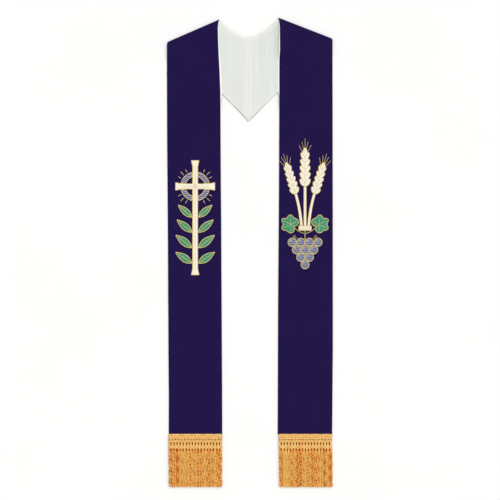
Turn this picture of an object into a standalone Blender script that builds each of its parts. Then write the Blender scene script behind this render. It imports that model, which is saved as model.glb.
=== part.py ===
"""A clerical stole laid flat: two folded halves, their lining, the fringe and the applique.

Metres, +Z up. X runs across the stole, +Y runs from the hems to the shoulders, and Z = 0 is the table that it
lies on. The origin is on the table, at the middle of the stole's outline.
"""

import math
import random

import bmesh
import bpy
from mathutils import Vector

# Outline of the whole stole, and how far its shoulders' corners are from the centre line
HALF_LENGTH = 0.5625
HALF_WIDTH = 0.1982
FRINGE_LENGTH = 0.127
HEM_Y = FRINGE_LENGTH - HALF_LENGTH
CENTRE_BACK_X = -0.0031
BACK_NECK_Y = 0.5148
BACK_TIP_Y = 0.3139

# Cloth, its layers and the gaps between them
CLOTH = 0.0015
LINING = 0.0010
GAP = 0.0003
EDGE_ROUND = 0.0004
LEAF_LIFT = CLOTH + LINING + 2 * GAP
FOLD_OUTSIDE = (LEAF_LIFT + CLOTH) / 2
FOLD_MIDDLE = FOLD_OUTSIDE - CLOTH / 2

# Both fronts' edges, as distances from the centre line at heights up the stole
FRONT_EDGES = (
    # y, left outer, left inner, right inner, right outer
    (-0.4500, 0.1946, 0.0660, 0.0668, 0.1975),
    (-0.3461, 0.1942, 0.0663, 0.0673, 0.1983),
    (-0.2309, 0.1951, 0.0669, 0.0676, 0.1993),
    (-0.1157, 0.1957, 0.0676, 0.0680, 0.1993),
    (-0.0425, 0.1960, 0.0680, 0.0687, 0.1992),
    (0.0763, 0.1967, 0.0686, 0.0696, 0.1991),
    (0.1531, 0.1972, 0.0693, 0.0701, 0.1990),
    (0.2299, 0.1979, 0.0698, 0.0704, 0.1989),
    (0.3067, 0.1984, 0.0702, 0.0707, 0.1988),
    (0.3835, 0.1987, 0.0713, 0.0712, 0.1987),
    (0.4219, 0.1989, 0.0728, 0.0713, 0.1985),
    (0.4603, 0.1988, 0.0746, 0.0715, 0.1984),
    (0.4987, 0.1983, 0.0762, 0.0713, HALF_WIDTH),
    (0.5371, HALF_WIDTH, 0.0767, 0.0706, HALF_WIDTH),
    (HALF_LENGTH, HALF_WIDTH, 0.0742, 0.0691, HALF_WIDTH),
)
EDGE_COLUMNS = {"left": (1, 2), "right": (4, 3)}
SIDES = {"left": -1.0, "right": 1.0}

# The ends of each shoulder fold on the outline, as distances from the centre line and heights
SHOULDERS = {
    # side: outer x, outer y, neck x, neck y, hollow of the back's diagonal edge
    "left": (HALF_WIDTH, 0.5040, 0.0742, 0.5580, 0.0070),
    "right": (HALF_WIDTH, 0.5124, 0.0691, HALF_LENGTH, 0.0025),
}
SHOULDER_CORNER = 0.003
NECK_DIP_POWER = 1.75

# Rows of sections along each half
ACROSS = 11
HEM_TUCK = 0.008
SLANT_FROM_Y = 0.2000
FLAT_ROWS_Y = (-0.3461, -0.2309, -0.1157, -0.0425, 0.0763, 0.1531, 0.2299)
RISE_FROM_Y = 0.2900
RISE_ROW = 0.0115
RISE_CLEAR = 0.012
RISE_RUN = 0.028
FOLD_ROWS = 6
BACK_ROWS = 9
LINING_SIDE_INSET = 0.0012
LINING_NECK_INSET = 0.0006
LINING_START = 0.004

# The front's lining rolls out beside its inner edge, from below the back's corner up to the neck
ROLL_THICK = 0.0010
ROLL_FROM_Y = 0.366
ROLL_FULL_Y = 0.385
ROLL_TO_Y = 0.540
ROLL_ROWS = 12
ROLL_NARROW = 0.0009
ROLL_WIDTHS = {"left": 0.0045, "right": 0.0028}
ROLL_SECTION = (
    # share of the width, share of the thickness
    (0.0, 0.5),
    (0.55, 0.5),
    (0.85, 0.35),
    (1.0, 0.0),
    (0.85, -0.35),
    (0.55, -0.5),
    (0.0, -0.5),
)

# Fringe: a crocheted heading with two rows of open ladder, and strands in two layers
LADDER_CELLS = 18
STRANDS_PER_CELL = 3
LAYERS = 2
STRAND = 0.00185
STRAND_SECTIONS = 3
SKIRT = 0.0859
HEADING_TOP = 0.0036
HEADING_ROOT = 0.0046
LADDER_ROWS = (
    # distance below the heading's top edge, height, share of a cell that is open, depth
    (0.0186, 0.0082, 0.34, 0.0015),
    (0.0344, 0.0058, 0.34, 0.0015),
)
FRINGE_SPANS = {"left": (-0.1944, -0.0662), "right": (0.0702, 0.1970)}
SWAY = 0.0006
SWAY_WAVE = 0.050
LAYER_STAGGER = 0.0010
CELL_PINCH = 0.00012
END_TRIM = 0.0018
STRAND_SEED = 11

# Applique pieces lie on the fronts, which are flat there
PATCH = 0.0010
PATCH_BASE = CLOTH + GAP
PATCH_ROUND = 0.0004

# Left applique: a ringed cross with four pairs of laurel leaves up its shaft
CROSS_AT = (-0.1310, 0.1580)
CROSS_HALF_BAR = 0.0060
CROSS_HALF_FLARE = 0.0092
CROSS_FLARE = 0.0150
CROSS_UP = 0.062
CROSS_SIDE = 0.047
CROSS_DOWN = 0.212
RING_INNER = 0.0240
RING_OUTER = 0.0345
RING_CLEAR = 0.0012
LAUREL = (
    # distance below the crossing, leaf length, leaf width, lean from upright in degrees
    (0.074, 0.044, 0.0150, 48.0),
    (0.110, 0.047, 0.0160, 50.0),
    (0.147, 0.049, 0.0170, 52.0),
    (0.184, 0.047, 0.0170, 56.0),
)
LAUREL_OFF_BAR = 0.0020

# Right applique: three ears of wheat tied over a bunch of grapes between two vine leaves
HARVEST_AT = (0.1325, 0.1000)
EARS = (
    # base x, base y, length, width, lean from upright in degrees
    (-0.0225, 0.0400, 0.080, 0.0230, 17.0),
    (0.0, 0.0580, 0.094, 0.0260, 0.0),
    (0.0225, 0.0400, 0.080, 0.0230, -17.0),
)
EAR_LOBES = 5
EAR_NARROW = 0.58
STALK_WIDTH = 0.0056
STALK_PITCH = 0.0088
STALK_BEND = 0.036
TIE = (0.0300, 0.0110)
TIE_Y = -0.0420
VINE_LEAVES = (
    # centre x, centre y, reach, turn in degrees
    (-0.0350, -0.0330, 0.0245, 60.0),
    (0.0350, -0.0330, 0.0245, -60.0),
)
VINE_OUTLINE = (
    # degrees from the tip, share of the leaf's reach
    (0.0, 1.00),
    (14.0, 0.84),
    (30.0, 0.68),
    (44.0, 0.84),
    (58.0, 0.95),
    (72.0, 0.86),
    (90.0, 0.70),
    (106.0, 0.80),
    (122.0, 0.86),
    (140.0, 0.80),
    (158.0, 0.66),
    (170.0, 0.52),
    (180.0, 0.28),
)
GRAPE = 0.0196
GRAPE_PITCH = 0.0207
GRAPE_ROWS = 4
GRAPES_TOP_Y = -0.0760

COLOURS = {
    # name: sRGB colour, roughness, metallic
    "violet_cloth": ((36, 24, 72), 0.85, 0.0),
    "white_lining": ((232, 234, 229), 0.60, 0.0),
    "gold_fringe": ((226, 160, 82), 0.50, 0.0),
    "ivory_brocade": ((238, 228, 204), 0.55, 0.1),
    "blue_brocade": ((92, 104, 158), 0.50, 0.1),
    "green_satin": ((54, 149, 107), 0.45, 0.0),
}


def linear(channel):
    """One sRGB channel, 0 to 255, as the linear value that a shader takes."""
    share = channel / 255
    return share / 12.92 if share <= 0.04045 else ((share + 0.055) / 1.055) ** 2.4


def finish(name):
    """The material of that name, made once."""
    made = bpy.data.materials.get(name)
    if made is None:
        colour, roughness, metallic = COLOURS[name]
        made = bpy.data.materials.new(name)
        made.use_nodes = True
        shader = made.node_tree.nodes["Principled BSDF"]
        shader.inputs["Base Color"].default_value = (*map(linear, colour), 1.0)
        shader.inputs["Roughness"].default_value = roughness
        shader.inputs["Metallic"].default_value = metallic
    return made


def add_piece(name, mesh, finish_name, parent, place=(0.0, 0.0), turn=0.0):
    """One sub-part as its own object, placed under its parent."""
    mesh.materials.append(finish(finish_name))
    piece = bpy.data.objects.new(name, mesh)
    bpy.context.scene.collection.objects.link(piece)
    piece.parent = parent
    piece.location = (place[0], place[1], 0.0)
    piece.rotation_euler.z = turn
    return piece


def add_empty(name, parent=None, place=(0.0, 0.0)):
    empty = bpy.data.objects.new(name, None)
    bpy.context.scene.collection.objects.link(empty)
    empty.parent = parent
    empty.location = (place[0], place[1], 0.0)
    return empty


def mesh_from(name, shape):
    """Turns a bmesh into a mesh with its faces pointing out."""
    bmesh.ops.recalc_face_normals(shape, faces=shape.faces)
    mesh = bpy.data.meshes.new(name)
    shape.to_mesh(mesh)
    shape.free()
    return mesh


def smooth_step(share):
    share = min(1.0, max(0.0, share))
    return share * share * (3 - 2 * share)


def edge_at(side, y):
    """A front's outer and inner edge at a height, as distances from the centre line."""
    outer, inner = EDGE_COLUMNS[side]
    rows = FRONT_EDGES
    y = min(max(y, rows[0][0]), rows[-1][0])
    for low, high in zip(rows, rows[1:]):
        if y <= high[0]:
            share = (y - low[0]) / (high[0] - low[0])
            return tuple(low[c] + share * (high[c] - low[c]) for c in (outer, inner))
    return rows[-1][outer], rows[-1][inner]


class Half:
    """The plan of one half: its fold, and the back's two edges, as points on the table."""

    def __init__(self, side):
        self.side = side
        self.sign = SIDES[side]
        outer_x, outer_y, neck_x, neck_y, self.hollow = SHOULDERS[side]
        corner = Vector((self.sign * outer_x, outer_y, 0.0))
        neck = Vector((self.sign * neck_x, neck_y, 0.0))
        self.along = (neck - corner).normalized()
        self.away = Vector((-self.along.y, self.along.x, 0.0))
        if self.away.y < 0:
            self.away.negate()
        self.fold_outer = corner - self.away * FOLD_OUTSIDE
        self.fold_inner = neck - self.away * FOLD_OUTSIDE
        self.seam_x = CENTRE_BACK_X + self.sign * GAP / 2

    def back_edge(self, share):
        """The back's diagonal edge, from the shoulder at 0 to the tip at 1."""
        tip = Vector((self.seam_x, BACK_TIP_Y, 0.0))
        point = self.fold_outer.lerp(tip, share)
        point.y += self.hollow * 4 * share * (1 - share)
        return point

    def neck_edge(self, share):
        """The back of the neck, from the shoulder at 0 to the centre back at 1."""
        x = self.fold_inner.x + share * (self.seam_x - self.fold_inner.x)
        rise = self.fold_inner.y - BACK_NECK_Y
        return Vector((x, BACK_NECK_Y + rise * (1 - share) ** NECK_DIP_POWER, 0.0))

    def lift(self, x, y):
        """How high the front lies over the back that is folded beneath it."""
        share = (x - self.fold_outer.x) / (self.seam_x - self.fold_outer.x)
        edge_y = self.back_edge(min(1.0, max(0.0, share))).y
        below = (edge_y - y) * math.sqrt(0.5)
        return LEAF_LIFT * (1 - smooth_step((below - RISE_CLEAR) / RISE_RUN))


def ring(outer, inner, normal, thickness, lift=None):
    """A closed section of the wall, from the outer edge over its face to the inner edge and back beneath."""
    along = (inner - outer).normalized()
    start, end = outer + along * EDGE_ROUND, inner - along * EDGE_ROUND
    face, back = [], []
    for column in range(ACROSS):
        point = start.lerp(end, column / (ACROSS - 1))
        if lift is not None:
            point.z += lift(point.x, point.y)
        face.append(point + normal * thickness / 2)
        back.append(point - normal * thickness / 2)
    raised = [Vector(p) for p in (outer, inner)]
    if lift is not None:
        for point in raised:
            point.z += lift(point.x, point.y)
    return [raised[0], *face, raised[1], *reversed(back)]


def loft(name, rings):
    """A closed mesh through sections that have the same number of points."""
    shape = bmesh.new()
    rows = [[shape.verts.new(p) for p in points] for points in rings]
    for row, next_row in zip(rows, rows[1:]):
        for i in range(len(row)):
            j = (i + 1) % len(row)
            shape.faces.new((row[i], row[j], next_row[j], next_row[i]))
    shape.faces.new(rows[0])
    shape.faces.new(reversed(rows[-1]))
    return mesh_from(name, shape)


def front_rings(half):
    """Sections up the front. They tilt towards the shoulder's slope, and rise over the back."""
    up = Vector((0.0, 0.0, 1.0))
    top = half.fold_outer.y
    rows = [HEM_Y - HEM_TUCK, *FLAT_ROWS_Y]
    count = round((top - RISE_FROM_Y) / RISE_ROW)
    rows += [RISE_FROM_Y + (top - RISE_FROM_Y) * i / count for i in range(count)]
    rings = []
    for y in rows:
        slant = smooth_step((y - SLANT_FROM_Y) / (top - SLANT_FROM_Y))
        inner_y = y + slant * (half.fold_inner.y - half.fold_outer.y)
        outer_x, inner_x = edge_at(half.side, y)[0], edge_at(half.side, inner_y)[1]
        outer = Vector((half.sign * outer_x, y, CLOTH / 2))
        inner = Vector((half.sign * inner_x, inner_y, CLOTH / 2))
        rings.append(ring(outer, inner, up, CLOTH, half.lift))
    return rings


def fold_rings(half):
    """Sections round the shoulder fold, from the front's face to the back's."""
    rings = []
    for row in range(FOLD_ROWS + 1):
        angle = math.pi * row / FOLD_ROWS
        normal = half.away * math.sin(angle) + Vector((0.0, 0.0, math.cos(angle)))
        middle = Vector((0.0, 0.0, FOLD_OUTSIDE)) + normal * FOLD_MIDDLE
        corner = half.along * SHOULDER_CORNER * math.sin(angle)
        rings.append(
            ring(half.fold_outer + middle + corner, half.fold_inner + middle, normal, CLOTH)
        )
    return rings


def back_rings(half):
    """Sections across the back, which lies face down, from the fold to the centre-back seam."""
    down = Vector((0.0, 0.0, -1.0))
    middle = Vector((0.0, 0.0, CLOTH / 2))
    shares = [(row + 1) / BACK_ROWS for row in range(BACK_ROWS)]
    return [
        ring(half.back_edge(s) + middle, half.neck_edge(s) + middle, down, CLOTH) for s in shares
    ]


def lining_rings(half):
    """Sections of the lining, which lies on the back and stops just inside the fold."""
    down = Vector((0.0, 0.0, -1.0))
    middle = Vector((0.0, 0.0, CLOTH + GAP + LINING / 2))
    rings = []
    for row in range(BACK_ROWS + 1):
        share = max(LINING_START, row / BACK_ROWS)
        outer, inner = half.back_edge(share), half.neck_edge(share)
        along = (inner - outer).normalized()
        outer += along * LINING_SIDE_INSET + middle
        inner -= along * LINING_NECK_INSET - middle
        rings.append(ring(outer, inner, down, LINING))
    return rings


def roll_rings(half):
    """Sections up the rolled edge of the front's lining. It narrows towards the neck."""
    widest = ROLL_WIDTHS[half.side]
    rings = []
    for row in range(ROLL_ROWS + 1):
        y = ROLL_FROM_Y + (ROLL_TO_Y - ROLL_FROM_Y) * row / ROLL_ROWS
        x = edge_at(half.side, y)[1] - GAP
        below = (y - ROLL_FROM_Y) / (ROLL_FULL_Y - ROLL_FROM_Y)
        above = (ROLL_TO_Y - y) / (ROLL_TO_Y - ROLL_FULL_Y)
        width = ROLL_NARROW + (widest - ROLL_NARROW) * min(below, above)
        middle = half.lift(half.sign * x, y) + CLOTH / 2
        rings.append(
            [
                Vector((half.sign * (x - across * width), y, middle + high * ROLL_THICK))
                for across, high in ROLL_SECTION
            ]
        )
    return rings


def heading_profile(top_y):
    """The heading's section across its length, as (y, z) points. Its top edge laps over the hem."""
    root_y = SKIRT - HALF_LENGTH
    lap_y = HEM_Y - HEM_TUCK - GAP
    lap_z = CLOTH + GAP
    return [
        (root_y, HEADING_ROOT),
        (top_y, HEADING_TOP),
        (top_y, lap_z),
        (lap_y, lap_z),
        (lap_y, 0.0),
        (root_y, 0.0),
    ]


def strand_sway(x, layer, share):
    """How far strands near x have swung sideways, at a share of their length. The layers lean apart."""
    lean = LAYER_STAGGER * (layer - (LAYERS - 1) / 2)
    return smooth_step(share) * (lean + SWAY * math.sin(2 * math.pi * x / SWAY_WAVE))


def grow_strand(shape, cell, number, layer, chance):
    """Draws one strand down from its cell of the heading's lower edge."""
    centre = cell.calc_center_median()
    bmesh.ops.inset_individual(shape, faces=[cell], thickness=GAP / 3)
    in_cell = number % STRANDS_PER_CELL - (STRANDS_PER_CELL - 1) / 2
    trim = 0.0 if number % 9 == 4 else chance.uniform(0.0, END_TRIM)
    reach = SKIRT - trim
    bob = chance.uniform(-1.0, 1.0) * GAP / 3
    for vert in cell.verts:
        away = vert.co - centre
        vert.co.x = centre.x + math.copysign(STRAND / 2, away.x)
        vert.co.z = centre.z + math.copysign(STRAND / 2, away.z)
    tip = cell
    for section in range(1, STRAND_SECTIONS + 1):
        share = section / STRAND_SECTIONS
        before = (section - 1) / STRAND_SECTIONS
        step = bmesh.ops.extrude_discrete_faces(shape, faces=[tip])
        tip = step["faces"][0]
        swing = strand_sway(centre.x, layer, share) - strand_sway(centre.x, layer, before)
        pinch = -in_cell * CELL_PINCH * (smooth_step(share) - smooth_step(before))
        rise = bob * (math.sin(math.pi * share) - math.sin(math.pi * before)) * (1 + layer)
        bmesh.ops.translate(
            shape, verts=tip.verts, vec=(swing + pinch, -reach / STRAND_SECTIONS, rise)
        )


def fringe_mesh(name, span, seed):
    """The heading as one closed block, with every strand drawn out of its lower edge."""
    count = LADDER_CELLS * STRANDS_PER_CELL
    low_x, high_x = span
    profile = heading_profile(HEM_Y)
    shape = bmesh.new()
    columns = [low_x + (high_x - low_x) * i / count for i in range(count + 1)]
    root_y = SKIRT - HALF_LENGTH
    grid = [
        [shape.verts.new((x, root_y, HEADING_ROOT * k / LAYERS)) for x in columns]
        for k in range(LAYERS + 1)
    ]
    ends = [[shape.verts.new((x, y, z)) for y, z in profile[1:-1]] for x in (low_x, high_x)]
    for end, column in zip(ends, (0, -1)):
        shape.faces.new([grid[k][column] for k in range(LAYERS + 1)] + end)
    for k in range(3):
        shape.faces.new((ends[0][k], ends[0][k + 1], ends[1][k + 1], ends[1][k]))
    shape.faces.new([*grid[LAYERS], ends[1][0], ends[0][0]])
    shape.faces.new([*grid[0], ends[1][-1], ends[0][-1]])
    cells = []
    for k in range(LAYERS):
        for i in range(count):
            corners = (grid[k][i], grid[k][i + 1], grid[k + 1][i + 1], grid[k + 1][i])
            cells.append((shape.faces.new(corners), i, k))
    bmesh.ops.recalc_face_normals(shape, faces=shape.faces)
    chance = random.Random(seed)
    for cell, number, layer in cells:
        grow_strand(shape, cell, number, layer, chance)
    return mesh_from(name, shape)


def ladder_cutter(name, span, parent):
    """The open cells of the heading's two ladder rows, as one cutter."""
    low_x, high_x = span
    pitch = (high_x - low_x) / LADDER_CELLS
    shape = bmesh.new()
    for drop, height, opening, depth in LADDER_ROWS:
        surface = HEADING_TOP + (HEADING_ROOT - HEADING_TOP) * drop / (FRINGE_LENGTH - SKIRT)
        for cell in range(LADDER_CELLS):
            made = bmesh.ops.create_cube(shape, size=1.0)["verts"]
            bmesh.ops.scale(shape, verts=made, vec=(pitch * opening, height, 2 * depth))
            place = (low_x + (cell + 0.5) * pitch, HEM_Y - drop - height / 2, surface)
            bmesh.ops.translate(shape, verts=made, vec=place)
    cutter = bpy.data.objects.new(name, mesh_from(name, shape))
    bpy.context.scene.collection.objects.link(cutter)
    cutter.parent = parent
    cutter.hide_render = True
    cutter.display_type = "WIRE"
    return cutter


def add_fringe(side, parent):
    name = f"fringe_{side}"
    mesh = fringe_mesh(name, FRINGE_SPANS[side], STRAND_SEED + int(SIDES[side]))
    fringe = add_piece(name, mesh, "gold_fringe", parent)
    cut = fringe.modifiers.new("ladder", "BOOLEAN")
    cut.operation = "DIFFERENCE"
    cut.object = ladder_cutter(f"ladder_cells_{side}", FRINGE_SPANS[side], parent)


def patch_mesh(name, outline):
    """An applique piece: its outline raised off the front, with its upper edge eased."""
    shape = bmesh.new()
    face = shape.faces.new([shape.verts.new((x, y, PATCH_BASE)) for x, y in outline])
    face.normal_update()
    if face.normal.z > 0:
        face.normal_flip()
    made = bmesh.ops.extrude_face_region(shape, geom=[face])["geom"]
    verts = [g for g in made if isinstance(g, bmesh.types.BMVert)]
    bmesh.ops.translate(shape, verts=verts, vec=(0.0, 0.0, PATCH - PATCH_ROUND))
    top = [g for g in made if isinstance(g, bmesh.types.BMFace)]
    bmesh.ops.inset_region(shape, faces=top, thickness=PATCH_ROUND)
    bmesh.ops.translate(shape, verts=top[0].verts, vec=(0.0, 0.0, PATCH_ROUND))
    return mesh_from(name, shape)


def turned(points, degrees):
    cosine, sine = math.cos(math.radians(degrees)), math.sin(math.radians(degrees))
    return [(x * cosine - y * sine, x * sine + y * cosine) for x, y in points]


def leaf_outline(length, width, steps=7):
    """A laurel leaf, pointed at both ends, with its base at the origin and its tip up."""
    right = []
    for i in range(1, steps):
        share = i / steps
        right.append((width / 2 * math.sin(math.pi * share**0.85), length * share))
    left = [(-x, y) for x, y in reversed(right)]
    return [(0.0, 0.0), *right, (0.0, length), *left]


def cross_outline():
    """A Latin cross whose four ends flare."""
    bar, flare, run = CROSS_HALF_BAR, CROSS_HALF_FLARE, CROSS_FLARE
    points = []
    for reach, degrees in ((CROSS_UP, 0), (CROSS_SIDE, 90), (CROSS_DOWN, 180), (CROSS_SIDE, 270)):
        arm = [(bar, bar), (bar, reach - run), (flare, reach)]
        arm += [(-flare, reach), (-bar, reach - run)]
        points += turned(arm, degrees)
    return points


def ring_quarter_outline(steps=7):
    """A quarter of the ring, whose ends run parallel to the cross's bars."""
    clear = CROSS_HALF_BAR + RING_CLEAR
    points = []
    for radius, order in ((RING_OUTER, 1), (RING_INNER, -1)):
        first = math.asin(clear / radius)
        angles = [first + (math.pi / 2 - 2 * first) * i / steps for i in range(steps + 1)]
        points += [(radius * math.cos(a), radius * math.sin(a)) for a in angles[::order]]
    return points


def ear_outline(length, width):
    """An ear of wheat whose grains stand out in pairs up to one at the tip."""
    right = [(0.0011, 0.0)]
    lobe = length / (EAR_LOBES + 1)
    for i in range(EAR_LOBES):
        taper = 1.0 - 0.30 * (i / EAR_LOBES) ** 2
        low = i * lobe
        right += [
            (width / 2 * EAR_NARROW * taper, low + 0.18 * lobe),
            (width / 2 * 0.92 * taper, low + 0.62 * lobe),
            (width / 2 * taper, low + 1.08 * lobe),
        ]
    right.append((width / 2 * 0.40, length - 0.72 * lobe))
    right.append((width / 2 * 0.30, length - 0.35 * lobe))
    return [*right, (0.0, length), *[(-x, y) for x, y in reversed(right)]]


def strip_outline(start, bend, end, width, steps=6):
    """A strip of even width along a curve through two ends, bent by one point between them."""
    left, right = [], []
    for i in range(steps + 1):
        t = i / steps
        point = start.lerp(bend, t).lerp(bend.lerp(end, t), t)
        run = (bend.lerp(end, t) - start.lerp(bend, t)).normalized()
        across = Vector((-run.y, run.x)) * width / 2
        left.append(tuple(point + across))
        right.append(tuple(point - across))
    return left + right[::-1]


def vine_outline(reach):
    """A five-lobed vine leaf with its tip up, notched at its stem."""
    rows = VINE_OUTLINE
    right = [(a, r) for a, r in rows]
    left = [(360.0 - a, r) for a, r in reversed(rows[1:-1])]
    return [
        (reach * r * math.sin(math.radians(a)), reach * r * math.cos(math.radians(a)))
        for a, r in right + left
    ]


def round_outline(diameter, sides=12):
    angles = [2 * math.pi * i / sides for i in range(sides)]
    return [(diameter / 2 * math.cos(a), diameter / 2 * math.sin(a)) for a in angles]


def add_ringed_cross(parent):
    """The left front's applique."""
    place = add_empty("cross_motif", parent, CROSS_AT)
    add_piece("cross", patch_mesh("cross", cross_outline()), "ivory_brocade", place)
    for quarter in range(4):
        name = f"ring_quarter_{quarter + 1}"
        mesh = patch_mesh(name, turned(ring_quarter_outline(), 90 * quarter))
        add_piece(name, mesh, "blue_brocade", place)
    number = 0
    for drop, length, width, lean in LAUREL:
        for sign in (-1.0, 1.0):
            number += 1
            name = f"laurel_leaf_{number}"
            mesh = patch_mesh(name, leaf_outline(length, width))
            root = (sign * (CROSS_HALF_BAR + LAUREL_OFF_BAR), -drop)
            add_piece(name, mesh, "green_satin", place, root, -sign * math.radians(lean))


def stalk_outline(ear, slot):
    """A stalk from its ear's base down to its place above the tie."""
    base_x, base_y, _, _, lean = ear
    down = Vector((math.sin(math.radians(lean)), -math.cos(math.radians(lean))))
    start = Vector((base_x, base_y)) + down * 2 * GAP
    end = Vector((slot * STALK_PITCH, TIE_Y + TIE[1] / 2 + 2 * GAP))
    bend = start + down * STALK_BEND
    if slot == 0:
        bend = start.lerp(end, 0.5)
    return strip_outline(start, bend, end, STALK_WIDTH)


def add_harvest(parent):
    """The right front's applique."""
    place = add_empty("harvest_motif", parent, HARVEST_AT)
    for number, ear in enumerate(EARS, 1):
        base_x, base_y, length, width, lean = ear
        name = f"wheat_ear_{number}"
        mesh = patch_mesh(name, ear_outline(length, width))
        add_piece(name, mesh, "ivory_brocade", place, (base_x, base_y), math.radians(lean))
        name = f"wheat_stalk_{number}"
        add_piece(name, patch_mesh(name, stalk_outline(ear, number - 2)), "ivory_brocade", place)
    half, tall = TIE[0] / 2, TIE[1] / 2
    corners = [(-half, -tall), (half, -tall), (half, tall), (-half, tall)]
    add_piece("stalk_tie", patch_mesh("stalk_tie", corners), "ivory_brocade", place, (0.0, TIE_Y))
    for number, (x, y, reach, turn) in enumerate(VINE_LEAVES, 1):
        name = f"vine_leaf_{number}"
        mesh = patch_mesh(name, vine_outline(reach))
        add_piece(name, mesh, "green_satin", place, (x, y), math.radians(turn))
    number = 0
    for row in range(GRAPE_ROWS):
        in_row = GRAPE_ROWS - row
        y = GRAPES_TOP_Y - row * GRAPE_PITCH * math.sqrt(0.75)
        for i in range(in_row):
            number += 1
            name = f"grape_{number:02d}"
            x = (i - (in_row - 1) / 2) * GRAPE_PITCH
            mesh = patch_mesh(name, round_outline(GRAPE))
            add_piece(name, mesh, "blue_brocade", place, (x, y))


def add_half(side, parent):
    half = Half(side)
    name = f"stole_{side}"
    sections = front_rings(half) + fold_rings(half) + back_rings(half)
    add_piece(name, loft(name, sections), "violet_cloth", parent)
    name = f"lining_{side}"
    add_piece(name, loft(name, lining_rings(half)), "white_lining", parent)
    name = f"lining_roll_{side}"
    add_piece(name, loft(name, roll_rings(half)), "white_lining", parent)


for leftover in list(bpy.data.objects):
    bpy.data.objects.remove(leftover)

stole = add_empty("stole")
for which in SIDES:
    add_half(which, stole)
    add_fringe(which, stole)
add_ringed_cross(stole)
add_harvest(stole)
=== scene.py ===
import math
import random

import bpy
import numpy as np
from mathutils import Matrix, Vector, geometry


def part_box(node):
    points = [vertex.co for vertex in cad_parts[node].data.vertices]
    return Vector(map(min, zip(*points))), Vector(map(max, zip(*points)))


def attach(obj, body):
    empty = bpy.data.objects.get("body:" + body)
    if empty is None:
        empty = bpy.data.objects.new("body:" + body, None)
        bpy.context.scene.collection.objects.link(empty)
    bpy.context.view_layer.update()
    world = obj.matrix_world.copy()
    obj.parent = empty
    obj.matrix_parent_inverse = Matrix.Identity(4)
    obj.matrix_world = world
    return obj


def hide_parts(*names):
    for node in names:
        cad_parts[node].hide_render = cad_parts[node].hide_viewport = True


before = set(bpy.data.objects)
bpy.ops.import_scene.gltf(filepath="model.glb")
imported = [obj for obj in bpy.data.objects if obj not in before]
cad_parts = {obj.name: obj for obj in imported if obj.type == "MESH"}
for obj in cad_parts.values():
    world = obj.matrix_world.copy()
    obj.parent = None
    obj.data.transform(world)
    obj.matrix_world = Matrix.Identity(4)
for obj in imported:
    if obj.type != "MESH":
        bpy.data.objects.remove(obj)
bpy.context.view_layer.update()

# The camera over the stole, and the light that falls on it.
# It looks straight down on 1.2 m of the table, as the photograph does. The light is wide, white and even,
# as in a photographer's tent, with one soft lamp up and to the left.

VIEW_ACROSS = 1.2
VIEW_CENTRE = (0.0005, 0.0055)  # x, y
LENS_MM = 85.0
SENSOR_MM = 36.0
VIEW_END = 100.0
SKY_STRENGTH = 0.738
LAMP_STRENGTH = 1.18
LAMP_SOFTNESS = 55.0
LAMP_TILT = (-30.0, 30.0)  # degrees about x, about y

camera = bpy.data.objects.new("camera", bpy.data.cameras.new("camera"))
bpy.context.scene.collection.objects.link(camera)
camera.data.lens = LENS_MM
camera.data.sensor_width = SENSOR_MM
camera.data.clip_end = VIEW_END
camera.location = (*VIEW_CENTRE, VIEW_ACROSS * LENS_MM / SENSOR_MM)
bpy.context.scene.camera = camera
bpy.context.scene.view_settings.view_transform = "Standard"

sky = bpy.data.worlds.new("sky")
sky.use_nodes = True
sky.node_tree.nodes["Background"].inputs["Color"].default_value = (1.0, 1.0, 1.0, 1.0)
sky.node_tree.nodes["Background"].inputs["Strength"].default_value = SKY_STRENGTH
bpy.context.scene.world = sky
lamp = bpy.data.objects.new("lamp", bpy.data.lights.new("lamp", "SUN"))
bpy.context.scene.collection.objects.link(lamp)
lamp.data.energy = LAMP_STRENGTH
lamp.data.angle = math.radians(LAMP_SOFTNESS)
lamp.rotation_euler = [math.radians(angle) for angle in (*LAMP_TILT, 0.0)]

# The table that the stole is laid on: a pale, matt top, so wide that no edge of it shows.
# It stands a hair below the cloth, so that no two faces lie in one plane.

TABLE_SIDE = 60.0
TABLE_GAP = 0.0003
TABLE_WHITES = ((252, 252, 251), (254, 254, 253))
TABLE_MOTTLE = 3.0


def linear(colour):
    """An sRGB colour, 0 to 255, as the linear values that a shader takes."""
    shares = [channel / 255 for channel in colour]
    return tuple(s / 12.92 if s <= 0.04045 else ((s + 0.055) / 1.055) ** 2.4 for s in shares)


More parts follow.
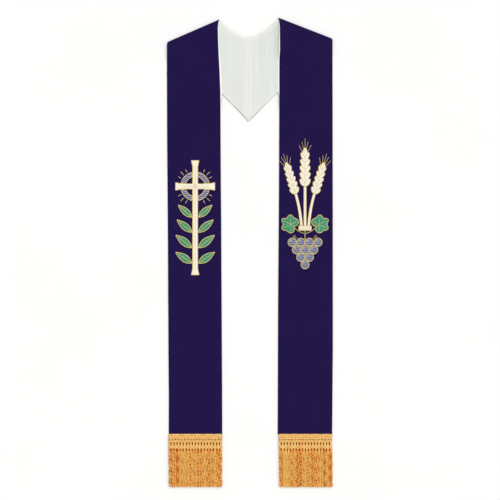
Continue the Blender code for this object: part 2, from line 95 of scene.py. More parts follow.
class Finish:
    """A material, built up from where each piece's threads lie."""

    def __init__(self, name, roughness, specular, sheen=0.0, sheen_roughness=0.4, tint=(255, 255, 255)):
        self.material = bpy.data.materials.new(name)
        self.material.use_nodes = True
        self.tree = self.material.node_tree
        self.shader = self.tree.nodes["Principled BSDF"]
        self.set(self.shader, "Roughness", roughness)
        self.set(self.shader, "Specular IOR Level", specular)
        self.set(self.shader, "Sheen Weight", sheen)
        self.set(self.shader, "Sheen Roughness", sheen_roughness)
        self.shader.inputs["Sheen Tint"].default_value = (*linear(tint), 1.0)

    def set(self, node, socket, value):
        """Links a socket to another node's output, or gives it a plain value."""
        if isinstance(value, bpy.types.NodeSocket):
            self.tree.links.new(value, node.inputs[socket])
        elif value is not None:
            node.inputs[socket].default_value = value

    def node(self, kind, **inputs):
        """A node of one kind, its sockets linked or set by name."""
        made = self.tree.nodes.new(kind)
        for socket, value in inputs.items():
            self.set(made, socket.replace("_", " "), value)
        return made

    def threads(self):
        """Along, across and tone: where a point lies in its cloth or cord, in metres, and its shade."""
        made = self.node("ShaderNodeAttribute")
        made.attribute_name = "thread_at"
        parts = self.node("ShaderNodeSeparateXYZ", Vector=made.outputs["Vector"])
        return parts.outputs["X"], parts.outputs["Y"], parts.outputs["Z"]

    def places(self):
        """Where a point lies in its piece, in metres."""
        return self.node("ShaderNodeTexCoord").outputs["Object"]

    def sum(self, operation, first, second=None, third=None):
        """A sum of one to three values, each a number or a socket."""
        made = self.node("ShaderNodeMath")
        made.operation = operation
        for place, value in enumerate((first, second, third)):
            self.set(made, place, value)
        return made.outputs[0]

    def scaled(self, value, by, plus=0.5):
        """A value times one number or socket, plus another."""
        return self.sum("MULTIPLY_ADD", value, by, plus)

    def ripple(self, along, pitch):
        """A sine from -1 to 1 that repeats each pitch."""
        return self.sum("SINE", self.scaled(along, 2 * math.pi / pitch, 0.0))

    def swell(self, along, pitch):
        """The same sine, from 0 to 1."""
        return self.scaled(self.ripple(along, pitch), 0.5)

    def noise(self, where, scale, detail=2.0, roughness=0.5):
        """A random value from 0 to 1 that changes about scale times in a metre."""
        settings = {"Scale": scale, "Detail": detail, "Roughness": roughness}
        return self.node("ShaderNodeTexNoise", Vector=where, **settings).outputs["Fac"]

    def ramp(self, share, *stops):
        """A colour that passes through each stop, given as a share and an sRGB colour."""
        made = self.node("ShaderNodeValToRGB", Fac=share)
        ends = made.color_ramp.elements
        while len(ends) < len(stops):
            ends.new(0.5)
        for end, (at, colour) in zip(ends, stops):
            end.position = at
            end.color = (*linear(colour), 1.0)
        return made.outputs["Color"]

    def blended(self, share, first, second, kind="MIX"):
        """Two colours mixed by a share. Sockets 0, 6 and 7 are the share and the two colours."""
        made = self.node("ShaderNodeMix")
        made.data_type = "RGBA"
        made.blend_type = kind
        for place, value in ((0, share), (6, first), (7, second)):
            self.set(made, place, value)
        return made.outputs[2]

    def colour(self, value):
        """Gives the finish its colour."""
        self.set(self.shader, "Base Color", value)

    def relief(self, *heights):
        """Raises the surface by each height, a socket and the metres that its 0 to 1 stands for."""
        normal = None
        for height, metres in heights:
            made = self.node("ShaderNodeBump", Height=height, Distance=metres, Strength=1.0)
            self.set(made, "Normal", normal)
            normal = made.outputs["Normal"]
        self.set(self.shader, "Normal", normal)


def piece_of(name, points, faces, finish, threads=None, kept_on="POINT", crease=50.0):
    """A mesh object with its finish and threads. Edges bent past the crease angle stay sharp."""
    mesh = bpy.data.meshes.new(name)
    mesh.from_pydata(np.asarray(points).reshape(-1, 3).tolist(), [], faces)
    mesh.update()
    mesh.shade_smooth()
    mesh.set_sharp_from_angle(angle=math.radians(crease))
    if threads is not None:
        kept = mesh.attributes.new("thread_at", "FLOAT_VECTOR", kept_on)
        kept.data.foreach_set("vector", np.asarray(threads, np.float32).ravel())
    mesh.materials.append(finish.material)
    made = bpy.data.objects.new(name, mesh)
    bpy.context.scene.collection.objects.link(made)
    return made


table_top = Finish("pale_table", roughness=0.9, specular=0.1)
mottle = table_top.noise(table_top.places(), scale=TABLE_MOTTLE, detail=3.0)
table_top.colour(table_top.ramp(mottle, (0.3, TABLE_WHITES[0]), (0.7, TABLE_WHITES[1])))
reach = TABLE_SIDE / 2
corners = [(-reach, -reach, -TABLE_GAP), (reach, -reach, -TABLE_GAP), (reach, reach, -TABLE_GAP)]
table = piece_of("table", [*corners, (-reach, reach, -TABLE_GAP)], [(0, 1, 2, 3)], table_top)

# The outer cloth of each half: a plain violet face cloth over interfacing, its long edges turned in and
# pressed. Each half is one length, from the hem up the front, over the shoulder fold, and down to the
# centre-back seam.

CLOTH = 0.0015
LEAF_LIFT = 0.0031
FOLD_OUTSIDE = (LEAF_LIFT + CLOTH) / 2
FOLD_MIDDLE = FOLD_OUTSIDE - CLOTH / 2
SEAM_GAP = 0.0003
HALF_LENGTH = 0.5625
HALF_WIDTH = 0.1982
HEADING_TOP_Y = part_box("fringe_left")[1].y
HEM_LAP = 0.008
HEM_Y = HEADING_TOP_Y - HEM_LAP
HEM_ROWS = (-0.0022, -0.0004, 0.0030)  # y from the heading's top edge
HEM_DRAWN_IN = {"left": (0.0004, 0.0004), "right": (0.0004, 0.0024)}
CENTRE_BACK_X = -0.0031
BACK_NECK_Y = 0.5148
BACK_TIP_Y = 0.3139
NECK_DIP_POWER = 1.75
SIDES = {"left": -1.0, "right": 1.0}
FRONT_EDGES = (
    # y, left outer, left inner, right inner, right outer, as distances from the centre line
    (-0.4500, 0.1946, 0.0660, 0.0668, 0.1975),
    (-0.3461, 0.1942, 0.0663, 0.0673, 0.1983),
    (-0.2309, 0.1951, 0.0669, 0.0676, 0.1993),
    (-0.1157, 0.1957, 0.0676, 0.0680, 0.1993),
    (-0.0425, 0.1960, 0.0680, 0.0687, 0.1992),
    (0.0763, 0.1967, 0.0686, 0.0696, 0.1991),
    (0.1531, 0.1972, 0.0693, 0.0701, 0.1990),
    (0.2299, 0.1979, 0.0698, 0.0704, 0.1989),
    (0.3067, 0.1984, 0.0702, 0.0707, 0.1988),
    (0.3835, 0.1987, 0.0707, 0.0710, 0.1987),
    (0.4219, 0.1989, 0.0721, 0.0708, 0.1985),
    (0.4603, 0.1988, 0.0740, 0.0710, 0.1984),
    (0.4987, 0.1983, 0.0758, 0.0710, HALF_WIDTH),
    (0.5371, HALF_WIDTH, 0.0767, 0.0706, HALF_WIDTH),
    (HALF_LENGTH, HALF_WIDTH, 0.0742, 0.0691, HALF_WIDTH),
)
EDGE_COLUMNS = {"left": (1, 2), "right": (4, 3)}
SHOULDERS = {
    # side: outer x, outer y, neck x, neck y, hollow of the back's diagonal edge
    "left": (HALF_WIDTH, 0.5040, 0.0742, 0.5580, 0.0070),
    "right": (HALF_WIDTH, 0.5124, 0.0691, HALF_LENGTH, 0.0025),
}
SHOULDER_CORNER = 0.003
SLANT_FROM_Y = 0.2000
RISE_CLEAR = 0.012
RISE_RUN = 0.028
FRONT_ROW = 0.006
FOLD_ROWS = 14
BACK_ROWS = 30
CLOTH_COLUMNS = 30
EDGE_TURNS = (62.0, 31.0, 0.0, -31.0, -62.0)  # degrees round a rounded edge
TURNING = 0.0125
TURNING_STEP = 0.0030
TURNING_HIGH = 0.00022
TURNING_FADE = (0.06, 0.05)  # distance below the fold, and over how far
RIPPLE = 0.0005
RIPPLE_ENDS = (-0.40, -0.33, 0.20, 0.30)  # y where they begin, are full, fade and end
NECK_CURL = (0.0066, 0.028)  # height, reach
NECK_CURL_SPAN = (0.455, 0.490, 0.540, 0.5615)  # y where it begins, is full, fades and ends
NECK_CURL_BACK = (0.0012, 0.020)  # distance, reach
VIOLET = (26, 11, 65)
VIOLET_LIGHT = (31, 14, 72)
FACE_CLOTH_THREAD = 0.00055


def eased(share):
    """A share from 0 to 1, with a soft start and end."""
    share = np.clip(share, 0.0, 1.0)
    return share * share * (3 - 2 * share)


def between(y, low, full, fading, end):
    """A share that rises from low to full, and falls from fading to end."""
    return eased((y - low) / (full - low)) * (1 - eased((y - fading) / (end - fading)))


def edge_at(side, y):
    """A front's outer and inner edge at each height, as distances from the centre line."""
    rows = np.array(FRONT_EDGES)
    return [np.interp(y, rows[:, 0], rows[:, column]) for column in EDGE_COLUMNS[side]]


class Half:
    """The plan of one half: its fold, and the back's two edges."""

    def __init__(self, side):
        self.side, self.sign = side, SIDES[side]
        outer_x, outer_y, neck_x, neck_y, self.hollow = SHOULDERS[side]
        corner = np.array([self.sign * outer_x, outer_y, 0.0])
        neck = np.array([self.sign * neck_x, neck_y, 0.0])
        self.along = (neck - corner) / np.linalg.norm(neck - corner)
        self.away = np.array([-self.along[1], self.along[0], 0.0])
        self.away *= math.copysign(1.0, self.away[1])
        self.fold_outer = corner - self.away * FOLD_OUTSIDE
        self.fold_inner = neck - self.away * FOLD_OUTSIDE
        self.seam_x = CENTRE_BACK_X + self.sign * SEAM_GAP / 2

    def back_edge(self, share):
        """The back's diagonal edge, from the shoulder at 0 to the tip at 1."""
        share = np.asarray(share, float)[..., None]
        tip = np.array([self.seam_x, BACK_TIP_Y, 0.0])
        hollow = np.array([0.0, self.hollow, 0.0])
        return self.fold_outer + (tip - self.fold_outer) * share + hollow * 4 * share * (1 - share)

    def neck_edge(self, share):
        """The back of the neck, from the shoulder at 0 to the centre back at 1."""
        share = np.asarray(share, float)
        x = self.fold_inner[0] + share * (self.seam_x - self.fold_inner[0])
        rise = self.fold_inner[1] - BACK_NECK_Y
        y = BACK_NECK_Y + rise * (1 - share) ** NECK_DIP_POWER
        return np.stack([x, y, np.zeros_like(x)], axis=-1)

    def lift(self, x, y):
        """How high the front lies over the back that is folded beneath it."""
        share = np.clip((x - self.fold_outer[0]) / (self.seam_x - self.fold_outer[0]), 0, 1)
        below = (self.back_edge(share)[..., 1] - y) * math.sqrt(0.5)
        return LEAF_LIFT * (1 - eased((below - RISE_CLEAR) / RISE_RUN))


def settled(x, y):
    """The low, broad ripples in which a front has settled on the table."""
    waves = np.sin(2 * np.pi * (y / 0.173 + x / 0.41 + 0.12))
    waves = waves + np.sin(2 * np.pi * (y / 0.287 - x / 0.23 + 0.63))
    return RIPPLE * between(y, *RIPPLE_ENDS) * (0.5 + 0.25 * waves)


HALVES = {side: Half(side) for side in SIDES}


def curled(side, x, y):
    """How far the right front's inner edge has curled up from the lining, close to the neck."""
    high, reach = NECK_CURL
    if side == "left":
        return 0.0 * x
    inward = x - edge_at(side, y)[1]
    return high * between(y, *NECK_CURL_SPAN) * eased(1 - np.abs(inward) / reach)


def curled_back(side, x, y):
    """How far outward the curl has drawn the right front's inner edge."""
    far, reach = NECK_CURL_BACK
    share = curled(side, x, y) / NECK_CURL[0]
    inward = np.abs(x - edge_at(side, y)[1])
    return far * share * eased(1 - inward / reach)


def front_height(side, x, y):
    """The height of a front's upper face above the table."""
    return CLOTH + HALVES[side].lift(x, y) + settled(x, y)


def wall(outer, inner, normal, thick, columns):
    """The points round each section of a wall with rounded edges, and the share across of each."""
    half = thick / 2
    along = inner - outer
    along = along / np.linalg.norm(along, axis=-1, keepdims=True)
    start, end = outer + along * half, inner - along * half
    across = np.linspace(0.0, 1.0, columns)
    line = start[:, None] + (end - start)[:, None] * across[None, :, None]
    turns = np.radians(EDGE_TURNS)
    arc = half * np.cos(turns)[None, :, None] * along[:, None]
    rise = half * np.sin(turns)[None, :, None] * normal[:, None]
    face, back = line + half * normal[:, None], line - half * normal[:, None]
    inner_arc, outer_arc = end[:, None] + arc + rise, start[:, None] - arc - rise
    points = np.concatenate([face, inner_arc, back[:, ::-1], outer_arc], axis=1)
    ones = np.ones(len(turns))
    shares = np.concatenate([across, ones, across[::-1], 0 * ones])
    return points, shares


def loft_faces(rows, around):
    """Quads between the sections, and a cap at each end."""
    faces = []
    for row in range(rows - 1):
        for i in range(around):
            j = (i + 1) % around
            a, b = row * around, (row + 1) * around
            faces.append((a + j, a + i, b + i, b + j))
    last = (rows - 1) * around
    return [*faces, tuple(range(around)), tuple(range(last + around - 1, last - 1, -1))]


def front_sections(half):
    """The two edges of each section up the front. The hem's corners are drawn in under the fringe."""
    top = half.fold_outer[1]
    hem = HEADING_TOP_Y + np.array(HEM_ROWS)
    above = np.linspace(hem[-1] + FRONT_ROW, top, round((top - hem[-1]) / FRONT_ROW))
    y = np.concatenate([[HEM_Y], hem, above])
    slant = eased((y - SLANT_FROM_Y) / (top - SLANT_FROM_Y))
    inner_y = y + slant * (half.fold_inner[1] - half.fold_outer[1])
    outer_x, inner_x = edge_at(half.side, y)[0], edge_at(half.side, inner_y)[1]
    drawn_in = eased((hem[1] - y) / (hem[1] - hem[0]))
    outer_x = outer_x - HEM_DRAWN_IN[half.side][0] * drawn_in
    inner_x = inner_x + HEM_DRAWN_IN[half.side][1] * drawn_in
    middle = np.full_like(y, CLOTH / 2)
    outer = np.stack([half.sign * outer_x, y, middle], axis=-1)
    inner = np.stack([half.sign * inner_x, inner_y, middle], axis=-1)
    return outer, inner, np.tile([0.0, 0.0, 1.0], (len(y), 1))


def fold_sections(half):
    """The two edges of each section round the shoulder fold, which has no crease pressed in it."""
    angle = np.linspace(0, np.pi, FOLD_ROWS + 1)[1:, None]
    up = np.array([0.0, 0.0, 1.0])
    normal = half.away * np.sin(angle) + up * np.cos(angle)
    middle = up * FOLD_OUTSIDE + normal * FOLD_MIDDLE
    corner = half.along * SHOULDER_CORNER * np.sin(angle)
    return half.fold_outer + middle + corner, half.fold_inner + middle, normal


def back_sections(half):
    """The two edges of each section across the back, which lies face down."""
    shares = np.linspace(0, 1, BACK_ROWS + 1)[1:]
    middle = np.array([0.0, 0.0, CLOTH / 2])
    outer, inner = half.back_edge(shares) + middle, half.neck_edge(shares) + middle
    return outer, inner, np.tile([0.0, 0.0, -1.0], (len(shares), 1))


def signed_area(loop):
    """The plan area inside a closed outline, positive where its points run anticlockwise."""
    after = np.roll(loop, -1, axis=0)
    return (loop[:, 0] * after[:, 1] - loop[:, 1] * after[:, 0]).sum() / 2


def unfolded_cut(half):
    """The width, length and area of a half's cut, with its back turned up about the shoulder fold."""
    front = front_sections(half)
    shares = np.linspace(0, 1, BACK_ROWS + 1)
    diagonal, neck = half.back_edge(shares), half.neck_edge(shares)
    back = np.concatenate([diagonal, neck])
    turned_up = back + half.away * 2 * ((half.fold_outer - back) @ half.away)[:, None]
    plan = np.concatenate([front[0], front[1], turned_up])
    area = abs(signed_area(np.concatenate([front[0], front[1][::-1]])))
    area += abs(signed_area(np.concatenate([diagonal, neck[::-1]])))
    return np.ptp(plan[:, 0]), np.ptp(plan[:, 1]), area


def outer_cloth(half):
    """One half's violet cloth as a closed wall, with where its threads lie."""
    front, fold, back = front_sections(half), fold_sections(half), back_sections(half)
    outer, inner, normal = (np.concatenate(parts) for parts in zip(front, fold, back))
    points, shares = wall(outer, inner, normal, CLOTH, CLOTH_COLUMNS)
    rows, around = points.shape[:2]
    in_front = np.arange(rows)[:, None] < len(front[0])
    x, y = points[..., 0], points[..., 1]
    standing = half.lift(x, y) + settled(x, y) + curled(half.side, x, y)
    points[..., 2] += np.where(in_front, standing, 0.0)
    drawn = curled_back(half.side, x, y)
    width = np.linalg.norm(inner - outer, axis=-1)[:, None]
    edge = np.minimum(shares, 1 - shares) * width
    facing = np.arange(around) < CLOTH_COLUMNS
    below, run = TURNING_FADE
    fading = 1 - eased((y - half.fold_outer[1] + below) / run)
    turned_in = TURNING_HIGH * (1 - eased((edge - TURNING) / TURNING_STEP)) * fading
    points[..., 2] += np.where(in_front & facing, turned_in, 0.0)
    points[..., 0] += np.where(in_front, drawn, 0.0)
    middle = (outer + inner) / 2
    steps = np.linalg.norm(np.diff(middle, axis=0), axis=-1)
    down = np.concatenate([[0.0], np.cumsum(steps)])[:, None]
    threads = np.stack(np.broadcast_arrays(shares * width, down, 0.5), axis=-1)
    return points, loft_faces(rows, around), threads


sheen = {"sheen": 0.10, "sheen_roughness": 0.5, "tint": (150, 130, 220)}
violet = Finish("violet_face_cloth", roughness=0.86, specular=0.12, **sheen)
across, along, _ = violet.threads()
weft = violet.ripple(along, FACE_CLOTH_THREAD)
warp = violet.ripple(across, FACE_CLOTH_THREAD)
weave = violet.scaled(violet.sum("MULTIPLY", weft, warp), 0.5)
slub = violet.noise(violet.places(), scale=900.0, detail=1.0)
shade = violet.noise(violet.places(), scale=14.0, detail=3.0)
tone = violet.scaled(slub, 0.45, violet.sum("MULTIPLY", shade, 0.55))
violet.colour(violet.ramp(tone, (0.3, VIOLET), (0.7, VIOLET_LIGHT)))
violet.set(violet.shader, "Roughness", violet.scaled(slub, 0.2, 0.76))
violet.relief((weave, 0.00006), (slub, 0.00005))

outer_cloths, sewn_on = {}, {side: [] for side in SIDES}
for side, half in HALVES.items():
    points, faces, threads = outer_cloth(half)
    cloth = piece_of(f"outer_cloth_{side}", points, faces, violet, threads)
    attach(cloth, "root")
    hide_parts(f"stole_{side}")
    outer_cloths[side] = cloth

# The lining of the back: white satin-backed polyester, bagged out with the outer cloth and turned.
# Its two halves meet in the centre-back seam, whose pressed-open allowances show as a faint raised band.
# Beside each front, the edge of the front's own lining has rolled out as a thin white line, coloured whiter
# than the lining as a painted highlight.
# The lining's streaks of lighter colour are painted sheen.

LINING_BASE = CLOTH + 0.00003
LINING_HIGH = 0.00095
LINING_EDGE = 0.0004
LINING_CEILING = LEAF_LIFT - 0.0002
LINING_ROLL_IN = 0.0045
LINING_SEAM_GAP = 0.00002
LINING_FROM = 0.004
LINING_TIP = ((0.985, 0.0003), (1.0, 0.0002))
LINING_INSETS = {
    # share from the shoulder to the tip, and the lining's inset from the diagonal edge there
    "left": ((0.0, -0.0010), (0.74, -0.0010), (0.85, 0.0006), (0.94, 0.0009), *LINING_TIP),
    "right": ((0.0, -0.0010), (0.67, -0.0010), (0.80, 0.0006), (0.95, 0.0010), *LINING_TIP),
}
SEAM_CLOSING = 8
NECK_OVERHANG = 0.0003
LINING_TURNING = (0.0060, 0.0020)  # width, step
LINING_LAYERS = 0.22
NECK_RIDGE = (0.0040, 0.014)  # height, width
LINING_ROWS = 64
LINING_COLUMNS = 72
SEAM_GROOVE = (0.0005, 0.00006)  # width, depth
SEAM_ALLOWANCE = (0.0105, 0.0020, 0.00022)  # width, step, height
LINING_CREASES = (
    # x and y of one end, x and y of the other, half width, height
    (-0.0300, 0.512, -0.0160, 0.352, 0.0065, 0.00034),
    (-0.0210, 0.505, -0.0120, 0.345, 0.0042, -0.00030),
    (-0.0480, 0.530, -0.0380, 0.395, 0.0090, 0.00028),
    (-0.0620, 0.545, -0.0560, 0.420, 0.0050, -0.00032),
    (0.0190, 0.508, 0.0120, 0.372, 0.0060, 0.00026),
    (0.0300, 0.520, 0.0230, 0.378, 0.0075, -0.00030),
    (0.0430, 0.528, 0.0400, 0.410, 0.0060, 0.00030),
    (0.0600, 0.552, 0.0280, 0.475, 0.0048, 0.00042),
    (0.0640, 0.540, 0.0600, 0.470, 0.0060, -0.00075),
    (-0.0080, 0.350, 0.0080, 0.343, 0.0040, 0.00022),
    (-0.0450, 0.400, -0.0250, 0.375, 0.0050, 0.00025),
    (0.0480, 0.405, 0.0250, 0.372, 0.0050, 0.00028),
)
LINING_WHITE = (224, 226, 220)
LINING_PAINTED_SHEEN = (231, 233, 228)
LINING_THREAD = 0.00035
ROLLS = {
    # side: y of its lower end, y where it is fullest, y of its upper end, width there
    "left": (0.3660, 0.3850, 0.5500, 0.0016),
    "right": (0.3780, 0.3900, 0.5560, 0.0013),
}
ROLL_NARROW = 0.0009
ROLL_FULL = 0.0046
ROLL_ROWS = 70
ROLL_UNEVEN = (
    # share of the width, length along the edge, shift
    (0.06, 0.0071, 0.0),
    (0.04, 0.0173, 1.0),
)
ROLL_THICK = 0.0011
LAYERED_WHITE_AND_ROLL_HIGHLIGHT = (252, 252, 250)
ROLL_SECTION = (
    # reach from the front's edge as a share of the width, rise as a share of the thickness
    (-0.06, -0.42),
    (0.02, -0.10),
    (0.12, 0.16),
    (0.26, 0.30),
    (0.42, 0.27),
    (0.58, 0.10),
    (0.73, -0.20),
    (0.86, -0.58),
    (1.00, -1.05),
    (0.86, -1.20),
    (0.60, -1.05),
    (0.30, -0.90),
    (0.00, -0.70),
)


def creased(x, y, creases):
    """The height of soft ridges and troughs that fade out at their ends and to each side."""
    height = np.zeros_like(x)
    for x0, y0, x1, y1, half_width, high in creases:
        run = np.array([x1 - x0, y1 - y0])
        length = np.hypot(*run)
        run = run / length
        down = (x - x0) * run[0] + (y - y0) * run[1]
        off = (x - x0) * run[1] - (y - y0) * run[0]
        ends = eased(down / (0.3 * length)) * eased((length - down) / (0.3 * length))
        height += high * ends * np.exp(-((off / half_width) ** 2))
    return height


def back_lining(half):
    """One half of the back's lining as a closed sheet that stands a little off the cloth."""
    shares = np.linspace(LINING_FROM, 1.0, LINING_ROWS)
    insets = np.array(LINING_INSETS[half.side])
    inset = np.interp(shares, insets[:, 0], insets[:, 1])[:, None]
    outer, inner = half.back_edge(shares), half.neck_edge(shares)
    closing = (SEAM_GAP - LINING_SEAM_GAP) / 2 * half.sign * shares[:, None] ** SEAM_CLOSING
    outer[:, :1] -= closing
    inner[:, :1] -= closing
    along = inner - outer
    width = np.linalg.norm(along, axis=-1, keepdims=True)
    along = along / width
    outer, inner = outer + along * inset, inner + along * NECK_OVERHANG
    across = np.linspace(0.0, 1.0, LINING_COLUMNS)
    line = outer[:, None] + (inner - outer)[:, None] * across[None, :, None]
    x, y = line[..., 0], line[..., 1]
    edge = np.minimum(across, 1 - across)[None, :] * width
    seam = np.abs(x - CENTRE_BACK_X)
    groove_wide, groove_deep = SEAM_GROOVE
    band_wide, band_step, band_high = SEAM_ALLOWANCE
    high = LINING_HIGH + creased(x, y, LINING_CREASES)
    band = 1 - eased((seam - band_wide + band_step) / band_step)
    high += band_high * band
    high = LINING_EDGE + (high - LINING_EDGE) * eased(edge / LINING_ROLL_IN)
    high -= groove_deep * np.exp(-((seam / groove_wide) ** 2))
    top, low = line.copy(), line.copy()
    ridge_high, ridge_wide = NECK_RIDGE
    rising = curled(half.side, x, y) / NECK_CURL[0]
    near = np.exp(-(((x - edge_at(half.side, y)[1]) / ridge_wide) ** 2)) if half.side == "right" else 0.0
    top[..., 2] = np.minimum(LINING_BASE + high, LINING_CEILING) + ridge_high * rising * near
    low[..., 2] = LINING_BASE
    rims = []
    for column in (-1, 0):
        rim = (top[:, column] + low[:, column]) / 2
        out = along if column == -1 else -along
        rims.append((rim + out * LINING_EDGE / 2)[:, None])
    points = np.concatenate([low, rims[0], top[:, ::-1], rims[1]], axis=1)
    turning_wide, turning_step = LINING_TURNING
    turned_in = 1 - eased((edge - turning_wide) / turning_step)
    layers = LINING_LAYERS * np.maximum(band, turned_in)
    layers = np.concatenate([layers, layers[:, -1:], layers[:, ::-1], layers[:, :1]], axis=1)
    threads = np.stack([points[..., 0], points[..., 1], layers], axis=-1)
    return points, loft_faces(*points.shape[:2]), threads


def lining_roll(half):
    """The edge of the front's lining, rolled out beside the front's inner edge near the neck."""
    from_y, full_y, to_y, narrow = ROLLS[half.side]
    y = np.linspace(from_y, to_y, ROLL_ROWS)
    edge = edge_at(half.side, y)[1]
    width = np.interp(y, [from_y, full_y, to_y], [ROLL_NARROW, ROLL_FULL, narrow])
    width *= sum((share * np.sin(y / wave + shift) for share, wave, shift in ROLL_UNEVEN), 1.0)
    reach, rise = np.array(ROLL_SECTION).T
    flat_x = half.sign * edge
    x = (flat_x + curled_back(half.side, flat_x, y))[:, None]
    x = x - half.sign * reach[None, :] * width[:, None]
    rows = np.broadcast_to(y[:, None], x.shape)
    middle = half.lift(flat_x, y) + curled(half.side, flat_x, y) + CLOTH / 2
    shallow = np.minimum(width / ROLL_FULL, 1.0)[:, None]
    z = middle[:, None] + rise[None, :] * ROLL_THICK * np.where(rise < 0, shallow, 1.0)
    points = np.stack([x, rows, z], axis=-1)
    # A share of 1 gives the whole roll the whitest colour, which is a painted highlight.
    threads = np.stack([x, rows, 0 * x + 1.0], axis=-1)
    return points, loft_faces(*points.shape[:2]), threads


lining = Finish("white_satin_lining", roughness=0.5, specular=0.25, sheen=0.08, sheen_roughness=0.3)
across, along, rolled = lining.threads()
warp = lining.ripple(across, LINING_THREAD)
weft = lining.ripple(along, LINING_THREAD * 1.6)
weave = lining.scaled(lining.sum("ADD", warp, weft), 0.25)
# Long streaks of lighter colour are painted sheen; the same streaks also vary the roughness and the relief.
painted_sheen_bands = lining.node("ShaderNodeMapping", Vector=lining.places(), Scale=(90.0, 7.0, 20.0))
streak = lining.noise(painted_sheen_bands.outputs["Vector"], scale=1.0, detail=3.0)
lining_with_painted_sheen = lining.ramp(streak, (0.3, LINING_WHITE), (0.7, LINING_PAINTED_SHEEN))
# The rolled edge takes the whitest colour as a painted highlight; the seam's allowances and the turned
# edges take part of it, where extra layers lie beneath.
lining.colour(lining.blended(rolled, lining_with_painted_sheen, (*linear(LAYERED_WHITE_AND_ROLL_HIGHLIGHT), 1.0)))
lining.set(lining.shader, "Roughness", lining.scaled(streak, 0.16, 0.42))
lining.relief((weave, 0.00003), (streak, 0.00006))

for side, half in HALVES.items():
    points, faces, threads = back_lining(half)
    backing = piece_of(f"back_lining_{side}", points, faces, lining, threads)
    points, faces, threads = lining_roll(half)
    rolled_edge = piece_of(f"rolled_lining_{side}", points, faces, lining, threads)
    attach(backing, "root")
    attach(rolled_edge, "root")
    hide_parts(f"lining_{side}")
    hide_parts(f"lining_roll_{side}")
    shares = np.linspace(0, 1, 40)
    cut = np.concatenate([half.back_edge(shares), half.neck_edge(shares)[::-1]])
    flat, area = (np.ptp(cut[:, 0]), np.ptp(cut[:, 1])), abs(signed_area(cut))

# The cross and its ring, on the left front. They are cut from ivory and blue brocade, laid over a thin
# felt that pads them, and held down by the cord that covers their edges.

PATCH_BASE = 0.00003
PATCH_RIM = 0.0002
PATCH_HIGH = 0.0011
PATCH_ROUNDING = 0.0009
PATCH_GRID = 0.0015
CROSS_AT = (-0.1310, 0.1580)
CROSS_HALF_BAR = 0.0060
CROSS_HALF_FLARE = 0.0092
CROSS_FLARE = 0.0150
CROSS_UP = 0.062
CROSS_SIDE = 0.047
CROSS_DOWN = 0.212
CROSS_STEP = 0.0013
RING_INNER = 0.0240
RING_OUTER = 0.0345
RING_CLEAR = 0.0012
IVORIES = ((243, 232, 206), (250, 244, 230), (254, 252, 247))
IVORY_FLECKS = ((228, 206, 158), (255, 255, 255))
DAMASK = (0.0024, 0.0029)  # pitch across, along
IVORY_THREAD = 0.0006
BLUE_THREAD = 0.0005
BLUES = ((20, 28, 90), (44, 60, 128), (98, 114, 170), (196, 202, 212))
WAVE_PITCH = 0.0046
WAVE_LENGTH = 0.0078
WAVE_HIGH = 0.0011


def turned(points, degrees, at=(0.0, 0.0)):
    """Plan points turned about the origin and moved to their place."""
    cosine, sine = math.cos(math.radians(degrees)), math.sin(math.radians(degrees))
    x, y = np.asarray(points, float).T
    return np.stack([x * cosine - y * sine + at[0], x * sine + y * cosine + at[1]], axis=-1)


def evenly(points, spacing, closed=True, soften=1):
    """Points at even steps along an outline or a line, its corners eased a little."""
    points = np.asarray(points, float)
    if closed:
        points = np.concatenate([points, points[:1]])
    steps = np.linalg.norm(np.diff(points, axis=0), axis=-1)
    run = np.concatenate([[0.0], np.cumsum(steps)])
    count = max(6, round(run[-1] / spacing))
    at = np.linspace(0, run[-1], count + 1)
    made = np.stack([np.interp(at, run, points[:, k]) for k in range(points.shape[1])], axis=-1)
    if closed:
        made = made[:-1]
    for _ in range(soften):
        before, after = np.roll(made, 1, axis=0), np.roll(made, -1, axis=0)
        eased_points = (before + 2 * made + after) / 4
        if not closed:
            eased_points[0], eased_points[-1] = made[0], made[-1]
        made = eased_points
    return made


def cross_outline():
    """A Latin cross whose four ends flare."""
    bar, flare, run = CROSS_HALF_BAR, CROSS_HALF_FLARE, CROSS_FLARE
    arms = []
    for reach, degrees in ((CROSS_UP, 0), (CROSS_SIDE, 90), (CROSS_DOWN, 180), (CROSS_SIDE, 270)):
        arm = [(bar, bar), (bar, reach - run), (flare, reach), (-flare, reach), (-bar, reach - run)]
        arms.append(turned(arm, degrees))
    return np.concatenate(arms)


def ring_quarter_outline(steps=24):
    """A quarter of the ring, whose ends run parallel to the cross's bars."""
    clear = CROSS_HALF_BAR + RING_CLEAR
    arcs = []
    for radius, order in ((RING_OUTER, 1), (RING_INNER, -1)):
        first = math.asin(clear / radius)
        angles = np.linspace(first, math.pi / 2 - first, steps)[::order]
        arcs.append(np.stack([radius * np.cos(angles), radius * np.sin(angles)], -1))
    return np.concatenate(arcs)


def off_line(points, line, closed=True):
    """The distance from each point to an outline or a line."""
    ends = np.roll(line, -1, axis=0) if closed else line[1:]
    starts = line if closed else line[:-1]
    run = ends - starts
    from_start = points[:, None] - starts[None]
    share = (from_start * run[None]).sum(-1) / np.maximum((run * run).sum(-1), 1e-12)
    nearest = starts[None] + np.clip(share, 0, 1)[..., None] * run[None]
    return np.linalg.norm(points[:, None] - nearest, axis=-1).min(axis=1)


def is_inside(points, outline):
    """True for each point inside an outline, by counting the edges to its right."""
    starts, ends = outline, np.roll(outline, -1, axis=0)
    x, y = points[:, 0][:, None], points[:, 1][:, None]
    crosses = (starts[None, :, 1] > y) != (ends[None, :, 1] > y)
    rise = np.where(ends[:, 1] == starts[:, 1], 1e-12, ends[:, 1] - starts[:, 1])
    at = starts[:, 0] + (y - starts[:, 1]) * (ends[:, 0] - starts[:, 0]) / rise
    return (crosses & (x < at)).sum(axis=1) % 2 == 1


